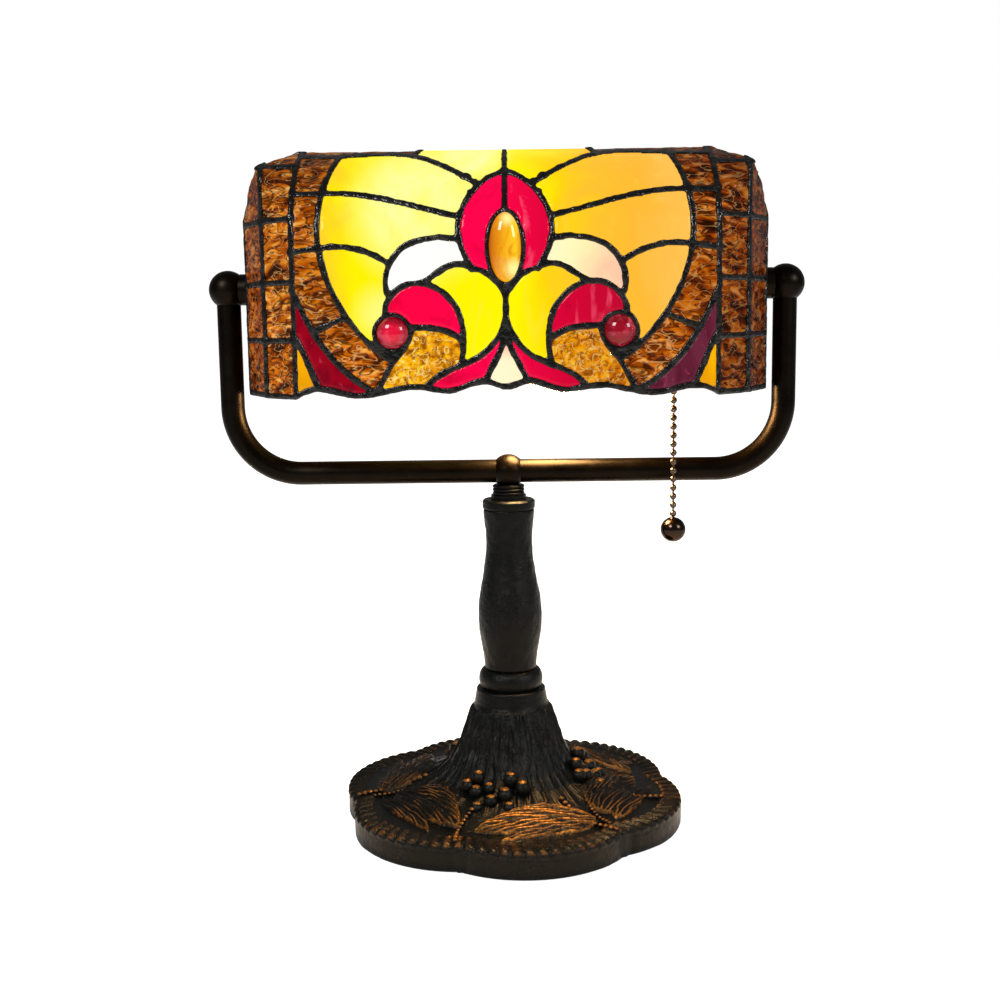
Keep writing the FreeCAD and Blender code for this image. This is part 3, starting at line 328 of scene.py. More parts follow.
def glass_material(name, build, gloss=0.14, body=0.05, depth=0.0, level=0.14):
    """Glass with the lamp's light behind it: build gives the colour that comes through."""
    made, tree, shader, place = material(name)
    flat = scaled(tree, place, (1, 0, 1))
    x = add(tree, "SeparateXYZ", out=0, Vector=place)
    colour, height = build(tree, place, flat, x)
    dim = mixed(tree, 1.0, colour, (body, body, body, 1.0), "MULTIPLY")
    fill(tree, shader, Base_Color=dim, Roughness=gloss, Emission_Color=colour, Emission_Strength=1.0)
    shader.inputs["Specular IOR Level"].default_value = level
    if depth:
        fill(tree, shader, Normal=bump(tree, height, depth))
    return made


def wisps(tree, place, scale, stretch, twist=1.5, detail=4.0):
    """Streaky clouds drawn out along the axes with a small stretch."""
    along = scaled(tree, place, stretch)
    return add(tree, "TexNoise", Vector=along, Scale=scale, Detail=detail, Roughness=0.55, Distortion=twist)


def across(x_mm):
    """A place along the shade as a share from 0 to 1."""
    return (x_mm + 95) / 190


def yellow(tree, place, flat, x):
    side = mapped(tree, x, -95 * MM, 95 * MM)
    cloud = wisps(tree, place, 22.0, (1.0, 1.0, 0.45), 2.2)
    moved = maths(tree, "ADD", side, mapped(tree, cloud, 0.3, 0.7, -0.05, 0.05))
    # Painted light: brightest lemon left of the middle near the bulb, darker and more amber towards the
    # ends, most on the right by the socket.
    colour = ramp(tree, moved, [
        (across(-84), (255, 205, 40)), (across(-74), (255, 226, 10)), (across(-66), (255, 238, 0)),
        (across(0), (255, 242, 0)), (across(10), (255, 232, 0)), (across(24), (255, 210, 8)),
        (across(40), (255, 192, 45)), (across(58), (253, 184, 52)), (across(76), (252, 190, 78)),
    ])
    # Painted highlight: pale hot spots where the bulb shines brightest through the glass.
    painted_hot_spot = maths(tree, "MAXIMUM", spot(tree, flat, -36, 34, 40, 12), spot(tree, flat, -16, 60, 22, 6))
    painted_hot_spot = maths(tree, "MAXIMUM", painted_hot_spot, maths(tree, "MULTIPLY", spot(tree, flat, -55, -12, 16), 0.55))
    painted_hot_spot = maths(tree, "MULTIPLY", painted_hot_spot, mapped(tree, cloud, 0.3, 0.62, 0.45, 1.0), clamp=True)
    colour = mixed(tree, painted_hot_spot, colour, linear((255, 255, 165)))
    vein = mapped(tree, wisps(tree, place, 60.0, (1.0, 1.0, 0.3), 3.0), 0.55, 0.75, 0.0, 0.22)
    return mixed(tree, vein, colour, linear((255, 214, 90))), cloud


def cream(tree, place, flat, x):
    side = mapped(tree, x, -60 * MM, 60 * MM)
    cloud = wisps(tree, place, 50.0, (1.0, 1.0, 0.5), 2.0)
    # Partly painted light, near white on the left by the bulb, and partly the glass's own warmer tint
    # towards the right.
    colour = ramp(tree, side, [
        (0.0, (255, 255, 252)), (0.36, (255, 255, 244)), (0.44, (255, 246, 205)), (0.6, (255, 240, 196)),
        (0.70, (255, 246, 190)), (0.8, (255, 240, 176)), (0.92, (255, 206, 168)),
    ])
    rose = maths(tree, "MAXIMUM", spot(tree, flat, 0, -25, 10), maths(
        tree, "MULTIPLY", spot(tree, flat, 44, 4, 18), mapped(tree, cloud, 0.3, 0.7, 0.3, 0.9)))
    return mixed(tree, rose, colour, linear((255, 186, 160))), cloud


def red(tree, place, flat, x):
    side = mapped(tree, x, -55 * MM, 55 * MM)
    cloud = wisps(tree, place, 40.0, (1.0, 1.0, 0.5), 2.5)
    # Painted shade: darker towards the right, away from the bulb.
    colour = ramp(tree, side, [
        (0.0, (250, 0, 62)), (0.45, (255, 0, 76)), (0.55, (240, 0, 66)), (0.72, (212, 0, 52)),
        (1.0, (186, 6, 44)),
    ])
    colour = mixed(tree, mapped(tree, cloud, 0.55, 0.72, 0.0, 0.65), colour, linear((176, 0, 38)))
    streak = mapped(tree, wisps(tree, place, 90.0, (1.3, 1.0, 0.35), 1.2), 0.58, 0.72, 0.0, 0.6)
    streak = maths(tree, "MULTIPLY", streak, mapped(tree, x, -4 * MM, 6 * MM))
    return mixed(tree, streak, colour, linear((255, 92, 130))), cloud


def wine(tree, place, flat, x):
    cloud = wisps(tree, place, 70.0, (1.0, 1.0, 0.4), 2.0)
    # Redder on the left and darker, more mauve on the right: the darkening is painted shade away from the
    # bulb, the mauve is the glass's own tint.
    side = mapped(tree, x, -20 * MM, 20 * MM)
    colour = mixed(tree, side, linear((152, 0, 26)), linear((104, 36, 58)))
    colour = mixed(tree, mapped(tree, cloud, 0.45, 0.7, 0.0, 0.7), colour, linear((72, 0, 24)))
    fleck = mapped(tree, wisps(tree, place, 260.0, (1.0, 1.0, 0.6), 1.0), 0.6, 0.72, 0.0, 0.6)
    return mixed(tree, fleck, colour, linear((196, 70, 96))), cloud


def amber(tree, place, flat, x):
    cloud = wisps(tree, place, 60.0, (1.0, 1.0, 0.5), 2.0)
    z = add(tree, "SeparateXYZ", out=2, Vector=place)
    # Painted shade: darker in the end columns and towards the bottom rim.
    end = maths(tree, "GREATER_THAN", maths(tree, "ABSOLUTE", x), 94 * MM)
    colour = mixed(tree, end, linear((255, 184, 0)), linear((206, 108, 4)))
    colour = mixed(tree, mapped(tree, cloud, 0.4, 0.72, 0.0, 0.6), colour, linear((226, 132, 0)))
    return mixed(tree, mapped(tree, z, 0.215, 0.235, 0.3, 0.0), colour, linear((150, 70, 0))), cloud


def ridges(tree, place, scale, stretch, seed, wide):
    """Thin wandering lines: where a smooth field crosses its middle value."""
    moved = add(tree, "VectorMath", props={"operation": "ADD"}, _0=scaled(tree, place, stretch),
                _1=(seed * 0.37, seed * 0.61, seed * 0.83))
    field = add(tree, "TexNoise", Vector=moved, Scale=scale, Detail=1.5, Roughness=0.5, Distortion=1.1)
    off = maths(tree, "ABSOLUTE", maths(tree, "SUBTRACT", field, 0.5))
    return mapped(tree, off, 0.0, wide, 1.0, 0.0, smooth=True), field


def ripple(tree, place, flat, x):
    wave = add(tree, "Attribute", out=2, props={"attribute_name": "wave"})
    dark_line, fine = ridges(tree, place, 185.0, (0.6, 0.6, 1.35), 1, 0.075)
    bright_line = ridges(tree, place, 175.0, (0.6, 0.6, 1.4), 5, 0.03)[0]
    height = maths(tree, "ADD", maths(tree, "MULTIPLY", wave, 0.55), maths(tree, "MULTIPLY", fine, 0.5))
    colour = ramp(tree, height, [
        (0.30, (52, 18, 0)), (0.40, (112, 46, 0)), (0.50, (168, 78, 0)), (0.60, (204, 108, 2)),
        (0.70, (228, 146, 44)), (0.80, (244, 184, 108)),
    ])
    colour = mixed(tree, maths(tree, "MULTIPLY", dark_line, 0.86), colour, linear((34, 10, 0)))
    colour = mixed(tree, maths(tree, "MULTIPLY", bright_line, 0.55), colour, linear((250, 196, 122)))
    patch = add(tree, "TexNoise", Vector=place, Scale=26.0, Detail=2.0)
    z = add(tree, "SeparateXYZ", out=2, Vector=place)
    # Painted shade along x: lightest in the left columns, darker at the far left tip and increasingly
    # darker towards the right end.
    painted_shade_along_x = ramp(tree, mapped(tree, x, -0.124, 0.124), [
        (0.0, (190, 170, 160)), (0.05, (200, 180, 170)), (0.07, (255, 255, 255)), (0.16, (255, 255, 255)),
        (0.80, (236, 226, 216)), (0.86, (220, 204, 190)), (0.93, (176, 156, 146)), (0.95, (150, 128, 118)),
        (1.0, (132, 110, 100)),
    ])
    # Painted shade: darker towards the top of the shade, unevenly.
    painted_top_shade = maths(tree, "MULTIPLY", mapped(tree, z, 0.300, 0.328, 1.0, 0.42),
                      mapped(tree, patch, 0.3, 0.7, 0.8, 1.2))
    colour = mixed(tree, 1.0, colour, painted_shade_along_x, "MULTIPLY")
    return mixed(tree, 1.0, colour, painted_top_shade, "MULTIPLY"), fine


def granite(tree, place, flat, x):
    wave = add(tree, "Attribute", out=2, props={"attribute_name": "wave"})
    dark_line, fine = ridges(tree, place, 230.0, (1.0, 1.0, 1.0), 2, 0.045)
    bright_line = ridges(tree, place, 210.0, (1.0, 1.0, 1.0), 7, 0.034)[0]
    height = maths(tree, "ADD", maths(tree, "MULTIPLY", wave, 0.55), maths(tree, "MULTIPLY", fine, 0.5))
    # Painted shade: darker and browner towards the right.
    side = mapped(tree, x, -40 * MM, 50 * MM, 0.0, 1.0)
    colour = ramp(tree, height, [
        (0.30, (150, 84, 0)), (0.42, (206, 128, 0)), (0.54, (240, 162, 0)), (0.66, (252, 184, 10)),
        (0.76, (255, 208, 50)),
    ])
    colour = mixed(tree, maths(tree, "MULTIPLY", dark_line, 0.7), colour, linear((104, 56, 4)))
    colour = mixed(tree, maths(tree, "MULTIPLY", bright_line, 0.7), colour, linear((255, 238, 150)))
    return mixed(tree, maths(tree, "MULTIPLY", side, 0.5), colour, linear((206, 130, 60)), "MULTIPLY"), fine


def jewel_amber(tree, place, flat, x):
    cloud = wisps(tree, place, 130.0, (1.0, 1.0, 0.5), 2.5)
    # Painted light: darker on the left, brightest right of the middle.
    colour = ramp(tree, mapped(tree, x, -7 * MM, 7 * MM), [
        (0.0, (172, 84, 4)), (0.2, (226, 138, 10)), (0.5, (246, 176, 22)), (0.85, (255, 206, 30)),
        (1.0, (214, 130, 8)),
    ])
    colour = mixed(tree, mapped(tree, cloud, 0.45, 0.7, 0.0, 0.75), colour, linear((212, 112, 0)))
    # Painted highlights: two pale hot spots on the oval jewel.
    glow = maths(tree, "MAXIMUM", spot(tree, flat, 4, 6, 6), spot(tree, flat, 1, 27.5, 4.5))
    return mixed(tree, glow, colour, linear((255, 244, 150))), cloud


def jewel_red(tree, place, flat, x):
    cloud = wisps(tree, place, 150.0, (1.0, 1.0, 1.0), 1.5)
    # Painted shade: darker towards the right, away from the bulb.
    side = mapped(tree, x, -50 * MM, 50 * MM)
    colour = mixed(tree, side, linear((226, 10, 54)), linear((150, 4, 30)))
    # Painted shade: each round jewel is darker towards its edge and bright in its middle.
    rim = maths(tree, "MAXIMUM", spot(tree, flat, -50, -21, 7, 2), spot(tree, flat, 50, -21, 7, 2))
    colour = mixed(tree, maths(tree, "SUBTRACT", 1.0, rim), colour, linear((112, 0, 20)))
    return mixed(tree, mapped(tree, cloud, 0.5, 0.75, 0.0, 0.5), colour, linear((255, 96, 120))), cloud


def solder():
    made, tree, shader, place = material("black_solder")
    cloud = add(tree, "TexNoise", Vector=place, Scale=210.0, Detail=3.0, Roughness=0.5)
    grit = add(tree, "TexNoise", Vector=place, Scale=900.0, Detail=3.0)
    colour = mixed(tree, mapped(tree, cloud, 0.45, 0.75), linear((12, 11, 10)), linear((34, 33, 32)))
    height = maths(tree, "ADD", cloud, maths(tree, "MULTIPLY", grit, 0.12))
    fill(tree, shader, Base_Color=colour, Metallic=0.2,
         Roughness=mapped(tree, cloud, 0.35, 0.7, 0.14, 0.3), Normal=bump(tree, height, 0.0012))
    shader.inputs["Specular IOR Level"].default_value = 0.55
    return made


def felt():
    made, tree, shader, place = material("felt")
    fibre = add(tree, "TexNoise", Vector=place, Scale=1400.0, Detail=6.0, Roughness=0.7, Distortion=1.0)
    colour = mixed(tree, fibre, linear((22, 34, 26)), linear((52, 70, 56)))
    fill(tree, shader, Base_Color=colour, Roughness=0.95, Normal=bump(tree, fibre, 0.0004))
    shader.inputs["Sheen Weight"].default_value = 0.4
    return made


def bulb_material():
    made, tree, shader, place = material("frosted_glass")
    cloud = add(tree, "TexNoise", Vector=place, Scale=60.0, Detail=3.0)
    x = add(tree, "SeparateXYZ", out=0, Vector=place)
    neck = mapped(tree, x, -0.02, 0.03, 0.25, 1.0, smooth=True)
    glow = mixed(tree, mapped(tree, cloud, 0.3, 0.7), linear((255, 214, 140)), linear((255, 232, 180)))
    glow = mixed(tree, 1.0, glow, neck, "MULTIPLY")
    grain = add(tree, "TexNoise", Vector=place, Scale=1500.0)
    fill(tree, shader, Base_Color=linear((240, 236, 228)), Roughness=0.45, Emission_Color=glow,
         Emission_Strength=4.0, Normal=bump(tree, grain, 0.00005))
    return made


# The rubbed colour is worn bronze on the raised relief and also painted golden lamp glow on the base's
# front and on bead and berry tops.
CAST = dark_metal("bronze_casting", (7, 9, 9), (14, 15, 13), 0.2, grain=650, depth=0.0004,
                  metallic=0.0, wear_and_glow_colour=(232, 156, 66), level=0.14)
TUBE = dark_metal("bronze_tube", (24, 21, 17), (34, 28, 22), 0.33, grain=1600, depth=0.00003)
CHAIN = dark_metal("chain_metal", (86, 74, 64), (118, 102, 88), 0.22, grain=1500, depth=0.00003)
KNOB = dark_metal("knob_metal", (52, 42, 36), (74, 60, 50), 0.14, grain=1500, depth=0.00002)
SOLDER = solder()
LOOKS = {
    "bronze_casting": CAST,
    "bronze_tube": TUBE,
    "chain_metal": CHAIN,
    "black_solder": SOLDER,
    "felt": felt(),
    "frosted_glass": bulb_material(),
    "ballast_iron": plain_stuff("ballast_iron", (52, 46, 42), (84, 66, 54), 0.7, 240.0, 0.8),
    "bushing_plastic": plain_stuff("bushing_plastic", (16, 16, 17), (30, 30, 31), 0.5, 900.0),
    "zinc_steel": plain_stuff("zinc_steel", (150, 152, 150), (186, 188, 184), 0.34, 500.0, 1.0),
    "holder_brass": plain_stuff("holder_brass", (176, 128, 62), (206, 160, 88), 0.3, 260.0, 1.0),
    "plate_brass": dark_metal("plate_brass", (34, 28, 22), (56, 44, 32), 0.36, grain=900),
    "liner_card": plain_stuff("liner_card", (172, 150, 116), (198, 178, 142), 0.85, 700.0),
    "phenolic": plain_stuff("phenolic", (28, 20, 16), (48, 36, 28), 0.45, 600.0),
    "bulb_cap_metal": plain_stuff("bulb_cap_metal", (176, 174, 168), (206, 204, 198), 0.3, 400.0, 1.0),
    "wire_sheath": plain_stuff("wire_sheath", (14, 14, 15), (28, 27, 27), 0.55, 800.0),
    "glass_yellow": glass_material("glass_yellow", yellow),
    "glass_cream": glass_material("glass_cream", cream),
    "glass_red": glass_material("glass_red", red),
    "glass_wine": glass_material("glass_wine", wine),
    "glass_ripple": glass_material("glass_ripple", ripple, gloss=0.08, depth=0.0006),
    "glass_granite": glass_material("glass_granite", granite, gloss=0.08, depth=0.0005),
    "glass_amber": glass_material("glass_amber", amber),
    "oval_jewel": glass_material("oval_jewel", jewel_amber, gloss=0.05, level=0.4),
    "round_jewel": glass_material("round_jewel", jewel_red, gloss=0.05, level=0.45),
}

# Every CAD node that stays gets the look of its own slot.
SLOT_OF = {entry["node"]: entry["material_slot"] for entry in frame["record"]["subparts"]}
for node, thing in frame["nodes"].items():
    look = LOOKS[SLOT_OF[node]]
    thing.data.materials.clear()
    thing.data.materials.append(look)


def finish_piece(thing, slot_name, look=None):
    thing.data.materials.clear()
    thing.data.materials.append(look or LOOKS[slot_name])


# ------------------------------------------------------------------ shade
def face_y(x, z):
    """Half depth of the shade's outer face at a place seen from the front."""
    rise = min(1.0, max(0.0, (z - WALL_TOP) / (CREST - WALL_TOP)))
    arch = CREST_FLAT + (DEPTH - CREST_FLAT) * math.cos(math.asin(rise))
    wide = abs(x)
    if wide <= FRONT_HALF:
        plan = DEPTH
    elif wide <= CORNER:
        plan = DEPTH - (DEPTH - CORNER_DEPTH) * (wide - FRONT_HALF) / (CORNER - FRONT_HALF)
    else:
        plan = CORNER_DEPTH - (CORNER_DEPTH - END_DEPTH) * (wide - CORNER) / (END_HALF - CORNER)
    return min(arch, plan)


def solder_blobs():
    """Swollen joints where lead lines meet, on both faces and both halves, and at the column rows."""
    shapes, seen = [], set()
    spots = [(x, z, 1.75) for x, z in JOINTS]
    for wide, grow in ((-COLUMN, 1.9), (-CORNER, 2.0)):
        spots += [(wide, z, grow) for z in END_ROWS]
    spots += [
        (0, -2.5, 2.3), (0, 30, 2.1), (0, -18, 2.2), (-17, 46, 2.3), (-46, -27, 2.5), (-49.6, -30.8, 2.4),
    ]
    for x, z, radius in spots:
        for mirror in (-1, 1):
            for side in (-1, 1):
                key = (round(x * mirror, 1), round(z, 1), side)
                if key in seen:
                    continue
                seen.add(key)
                centre = (x * mirror, side * (face_y(x, z) - 1.5), z + PIVOT_Z)
                shapes.append(ball_mesh(centre, radius, (1.25, 0.85, 1.25), 8, 12))
    return shapes


came = recast("solder_came", ["lead_came"], "shade", 0.62, solder_blobs(), smooth=3)
points, normals = get_points(came.data), get_normals(came.data)
lumps = 0.2 + 0.28 * noise(points, 4.0, 1) + 0.16 * noise(points, 1.6, 2)
low, high = cad_limits(["lead_came"])
set_points(came.data, np.clip(points + normals * lumps[:, None], low, high))
finish_piece(came, "black_solder")

for colour in ("yellow", "cream", "red", "wine", "amber", "granite", "ripple"):
    nodes = sorted(n for n in frame["nodes"] if n.startswith("glass_" + colour))
    rolled = colour in ("granite", "ripple")
    panes = recast("panes_" + colour, nodes, "shade", 0.6 if rolled else 0.9, smooth=1)
    points, normals = get_points(panes.data), get_normals(panes.data)
    if colour == "ripple":
        sway = points + np.stack([noise(points, 6, k) for k in (3, 4, 5)], axis=1) * 2.2
        tilt = sway[:, 2] + 0.35 * np.abs(sway[:, 0])
        wave = np.stack([sway[:, 0] * 0.28, sway[:, 1] * 0.28, tilt], axis=1)
        height = noise(wave, 1.9, 6)
        wave_depth, grow = 0.32, 0.1
    elif colour == "granite":
        sway = points + np.stack([noise(points, 3, k) for k in (3, 4, 5)], axis=1) * 1.5
        height = noise(sway, 1.7, 7)
        wave_depth, grow = 0.28, 0.1
    else:
        height = noise(points, 16, 8)
        wave_depth, grow = 0.12, 0.3
    set_value(panes.data, "wave", height * 0.5 + 0.5)
    set_points(panes.data, points + normals * (height * wave_depth + grow)[:, None])
    finish_piece(panes, "glass_" + colour)


def dome(centre_x, centre_z, half_width, half_height, side, rise, rows=22, around=64):
    """A cabochon set through the glass: domed outside, flat inside."""
    y0 = face_y(centre_x, centre_z)
    points, faces = [], []
    for row in range(rows + 1):
        a = math.pi / 2 * row / rows
        for k in range(around):
            b = 2 * math.pi * k / around
            x = centre_x + half_width * math.sin(a) * math.cos(b)
            z = centre_z + half_height * math.sin(a) * math.sin(b)
            points.append((x, side * (y0 - 0.4 + rise * math.cos(a)), z + PIVOT_Z))
    for k in range(around):
        b = 2 * math.pi * k / around
        points.append((centre_x + half_width * math.cos(b), side * (y0 - 3.0),
                       centre_z + half_height * math.sin(b) + PIVOT_Z))
    for row in range(rows + 1):
        for k in range(around):
            p, q = row * around + k, row * around + (k + 1) % around
            if row == 0:
                faces.append((p, q + around, p + around) if side < 0 else (p, p + around, q + around))
            else:
                quad = (p, q, q + around, p + around)
                faces.append(quad if side < 0 else quad[::-1])
    last = (rows + 1) * around
    cap = tuple(range(last, last + around))
    faces.append(cap[::-1] if side < 0 else cap)
    return points, faces


ovals = joined([dome(0, 15.5, 7.0, 15.0, side, 5.0) for side in (-1, 1)])
rounds = joined([dome(x, -21, 7.0, 7.0, side, 5.0) for side in (-1, 1) for x in (-50, 50)])
for name, shape, node, slot in (
    ("oval_cabochons", ovals, "oval_jewels", "oval_jewel"),
    ("round_cabochons", rounds, "round_jewels", "round_jewel"),
):
    gems = piece(name, shape[0], shape[1], "shade")
    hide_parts(node)
    finish_piece(gems, slot)


# ------------------------------------------------------------------ base relief
RIM_CORDS = 90
STEM_ANGLES = [312, 192, 72]
BERRY_ANGLES = [256, 352, 120]
LEAVES = [  # base radius and turn from the stem, tip radius and turn, half width, height
    (64, -4, 64, -58, 11.5, 2.8),
    (67.5, -9, 72, -46, 4.6, 1.9),
    (67, 6, 70.5, 44, 5.6, 2.0),
    (58, 3, 62, 54, 12.0, 2.8),
]
BERRIES = [  # radius on the plan, turn from the cluster's middle, height of the middle, size
    (34.6, -14, 30, 3.5), (38.0, -21, 26, 3.6), (39.5, -12, 24.5, 3.4), (34.0, 13, 30, 3.7),
    (37.0, 22, 26.5, 3.9), (39.0, 9, 24.0, 3.9), (42.0, 0, 21.4, 3.6), (46.0, -7.5, 19.0, 3.3),
    (36.0, -4, 25.5, 3.2), (44.5, 12, 19.6, 3.1),
]


def rim_radius(angle):
    """The six-lobed outline: the farthest of six round lobes in that direction."""
    offset = BASE_RADIUS - LOBE_RADIUS
    reach = [
        offset * np.cos(angle - c) + np.sqrt(LOBE_RADIUS**2 - (offset * np.sin(angle - c)) ** 2)
        for c in np.radians(np.arange(42, 402, 60))
    ]
    return np.max(reach, axis=0)


TRUNK_RADII = [17.2, 18.4, 21.5, 25.5, 31, 37, 46, 55, 64, 90]
TRUNK_HEIGHTS = [67, 60, 51, 39.5, 29, 23.5, 19, 16.4, 14.2, 13.6]


def trunk_height(radius):
    """Height of the plain casting under the relief."""
    return np.interp(radius, TRUNK_RADII, TRUNK_HEIGHTS)


def leaf_height(x, y):
    best = np.zeros_like(x)
    for stem in STEM_ANGLES:
        for r0, t0, r1, t1, wide, tall in LEAVES:
            a0, a1 = math.radians(stem + t0), math.radians(stem + t1)
            bx, by = r0 * math.cos(a0), r0 * math.sin(a0)
            tx, ty = r1 * math.cos(a1), r1 * math.sin(a1)
            length = math.hypot(tx - bx, ty - by)
            ux, uy = (tx - bx) / length, (ty - by) / length
            s = ((x - bx) * ux + (y - by) * uy) / length
            w = -(x - bx) * uy + (y - by) * ux
            w = w + 2.2 * np.sin(math.pi * np.clip(s, 0, 1)) * (1 if t1 < 0 else -1)
            clear = np.clip(s, 1e-4, 1)
            half = wide * np.sin(math.pi * clear**0.72) ** 0.75 + 1e-3
            half = half * (1 + 0.03 * np.sin(s * length * 0.9))
            v = np.abs(w) / half
            inside = (s > 0) & (s < 1) & (v < 1)
            swell = np.sqrt(np.clip(1 - v**2, 0, 1)) ** 0.8
            waver = 0.5 * np.sin(s * length * 0.35 + w)
            ribs = 0.42 * np.sin((np.abs(w) - 0.11 * s * length + waver) * 2 * math.pi / 2.3)
            middle = -0.8 * np.exp(-((w / 0.7) ** 2))
            rise = tall * (0.35 + 0.65 * swell) + (ribs + middle) * np.clip((1 - v) * 4, 0, 1)
            best = np.maximum(best, np.where(inside, rise * np.clip(swell * 3, 0, 1), 0))
    return best


def base_shape():
    """The casting as one closed skin: rings from inside the foot, over the rim and up the trunk."""
    turns = 960
    angle = np.arange(turns) * 2 * math.pi / turns
    rim = rim_radius(angle)
    rings = []
    for inset, z in ((6.0, 10.0), (6.0, BASE_LIFT), (3.2, BASE_LIFT), (1.0, BASE_LIFT), (0.25, 1.3)):
        rings.append(("side", inset, z))
    for z in np.linspace(2.0, 11.0, 12):
        rings.append(("side", 0.0 if z < 10 else 0.1, z))
    for a in np.linspace(0.1, 1.0, 8):
        turn = a * math.pi / 2
        rings.append(("side", 2.4 * (1 - math.cos(turn)), 11.4 + 2.4 * math.sin(turn)))
    for inset in np.arange(2.9, 14.0, 0.5):
        rings.append(("top", inset, 0))
    fields = np.linspace(0, 1, 112)
    for share in fields[1:]:
        rings.append(("field", share, 0))
    for z in np.linspace(23.6, 66.6, 84):
        rings.append(("trunk", 0, z))
    rings += [("plain", 16.9, 67.0), ("plain", 6.0, 67.0), ("plain", 6.0, 12.0)]
    grid = np.zeros((len(rings), turns, 3))
    lift = np.zeros((len(rings), turns))
    cosine, sine = np.cos(angle), np.sin(angle)
    for row, (kind, inset, z) in enumerate(rings):
        if kind == "side":
            radius, height = rim - inset, np.full(turns, z)
        elif kind == "top":
            radius, height = rim - inset, trunk_height(rim - inset)
            height = np.maximum(height, 13.8 - 0.02 * inset)
        elif kind == "field":
            radius = (rim - 13.9) * (1 - inset) + 37.0 * inset
            height = np.maximum(trunk_height(radius), 13.5)
        elif kind == "trunk":
            radius = np.full(turns, np.interp(z, TRUNK_HEIGHTS[5::-1], TRUNK_RADII[5::-1]))
            height = np.full(turns, z)
        else:
            radius, height = np.full(turns, inset), np.full(turns, z)
        grid[row] = np.stack([radius * cosine, radius * sine, height], axis=1)
        inward = rim - radius
        if kind in ("top", "field") or (kind == "side" and z > 11):
            slant = RIM_CORDS * angle + 0.33 * inward + 0.6 * noise(grid[row], 7, 25)
            window = np.clip((inward + 0.6) / 1.2, 0, 1) * np.clip((10.6 - inward) / 1.6, 0, 1)
            cords = np.abs(np.cos(slant / 2)) ** 0.7
            lift[row] = window * (1.45 * cords - 0.45)
            groove = np.exp(-(((inward - 11.6) / 1.0) ** 2))
            lift[row] -= 0.7 * groove
        if kind in ("top", "field"):
            x, y = grid[row, :, 0], grid[row, :, 1]
            open_field = np.clip((inward - 10.2) / 1.0, 0, 1)
            lift[row] = np.maximum(lift[row], leaf_height(x, y) * open_field)
            grit = noise(grid[row], 1.6, 21) * 0.12 + noise(grid[row], 4.0, 22) * 0.22
            lift[row] += grit * open_field
        if kind == "trunk" or kind == "field":
            spin = np.stack([cosine * 24, sine * 24, height * 0.09], axis=1)
            bark = 1 - np.abs(noise(spin + 0.7 * noise(grid[row], 9, 31)[:, None], 2.1, 32))
            bark += 0.45 * (1 - np.abs(noise(spin * 2.1, 1.9, 33)))
            ragged = 58.5 + 2.2 * noise(np.stack([cosine * 9, sine * 9, cosine * 0], axis=1), 2.0, 34)
            strength = np.clip((52.5 - radius) / 10, 0, 1) * np.clip((ragged - height) / 1.2, 0, 1)
            lift[row] = np.maximum(lift[row], strength * (bark * 1.7 - 1.1))
        if kind == "side" and BASE_LIFT < z <= 11:
            lift[row] = 0.12 * noise(grid[row], 2.5, 23) + 0.2 * noise(grid[row], 9, 24)
            for notch in np.radians(np.arange(12, 372, 60)):
                off = np.abs(np.angle(np.exp(1j * (angle - notch)))) * BASE_RADIUS
                lift[row] += 0.7 * np.exp(-((off / 1.5) ** 2)) - 0.6 * np.exp(-(((off - 4.0) / 1.7) ** 2))
    return grid, lift, angle


def bead_line(radius_out, angle_out, radius_in, angle_in, size, gap):
    """Places of the beads on one cast stem, from the rim inwards."""
    a0, a1 = math.radians(angle_out), math.radians(angle_in)
    p = np.array([radius_out * math.cos(a0), radius_out * math.sin(a0)])
    q = np.array([radius_in * math.cos(a1), radius_in * math.sin(a1)])
    count = int(np.linalg.norm(q - p) / gap)
    beads = []
    for k in range(count + 1):
        t = k / count
        at = p + (q - p) * t
        at = at + np.array([-(q - p)[1], (q - p)[0]]) * 0.07 * math.sin(math.pi * t)
        beads.append((at[0], at[1], size * (1.0 - 0.15 * math.sin(5 * k))))
    return beads


grid, lift, angle = base_shape()
rows, turns = lift.shape
quads = []
for row in range(rows):
    nxt = (row + 1) % rows
    k = np.arange(turns)
    quads.append(np.stack([row * turns + k, row * turns + (k + 1) % turns, nxt * turns + (k + 1) % turns,
                           nxt * turns + k], axis=1))
quads = np.concatenate(quads)
along = np.roll(grid, -1, 0) - np.roll(grid, 1, 0)
round_way = np.roll(grid, -1, 1) - np.roll(grid, 1, 1)
out = np.cross(round_way, along)
out /= np.linalg.norm(out, axis=2, keepdims=True) + 1e-9
skin = grid + out * lift[..., None]
smooth_lift = lift.copy()
for _ in range(7):
    smooth_lift = (smooth_lift + np.roll(smooth_lift, 1, 1) + np.roll(smooth_lift, -1, 1)
                   + np.concatenate([smooth_lift[1:], smooth_lift[-1:]])
                   + np.concatenate([smooth_lift[:1], smooth_lift[:-1]])) / 5
edge = np.clip((lift - smooth_lift - 0.05) / 0.3, 0, 1)
INLET_HEIGHT, INLET_RADIUS, INLET_DEPTH = 7.4, 4.6, 5.0
inlet = (skin[..., 1] > 60) & (np.hypot(skin[..., 0], skin[..., 2] - INLET_HEIGHT) < INLET_RADIUS)
skin[..., 1] -= np.where(inlet, INLET_DEPTH, 0.0)

flat_skin = skin.reshape(-1, 3)
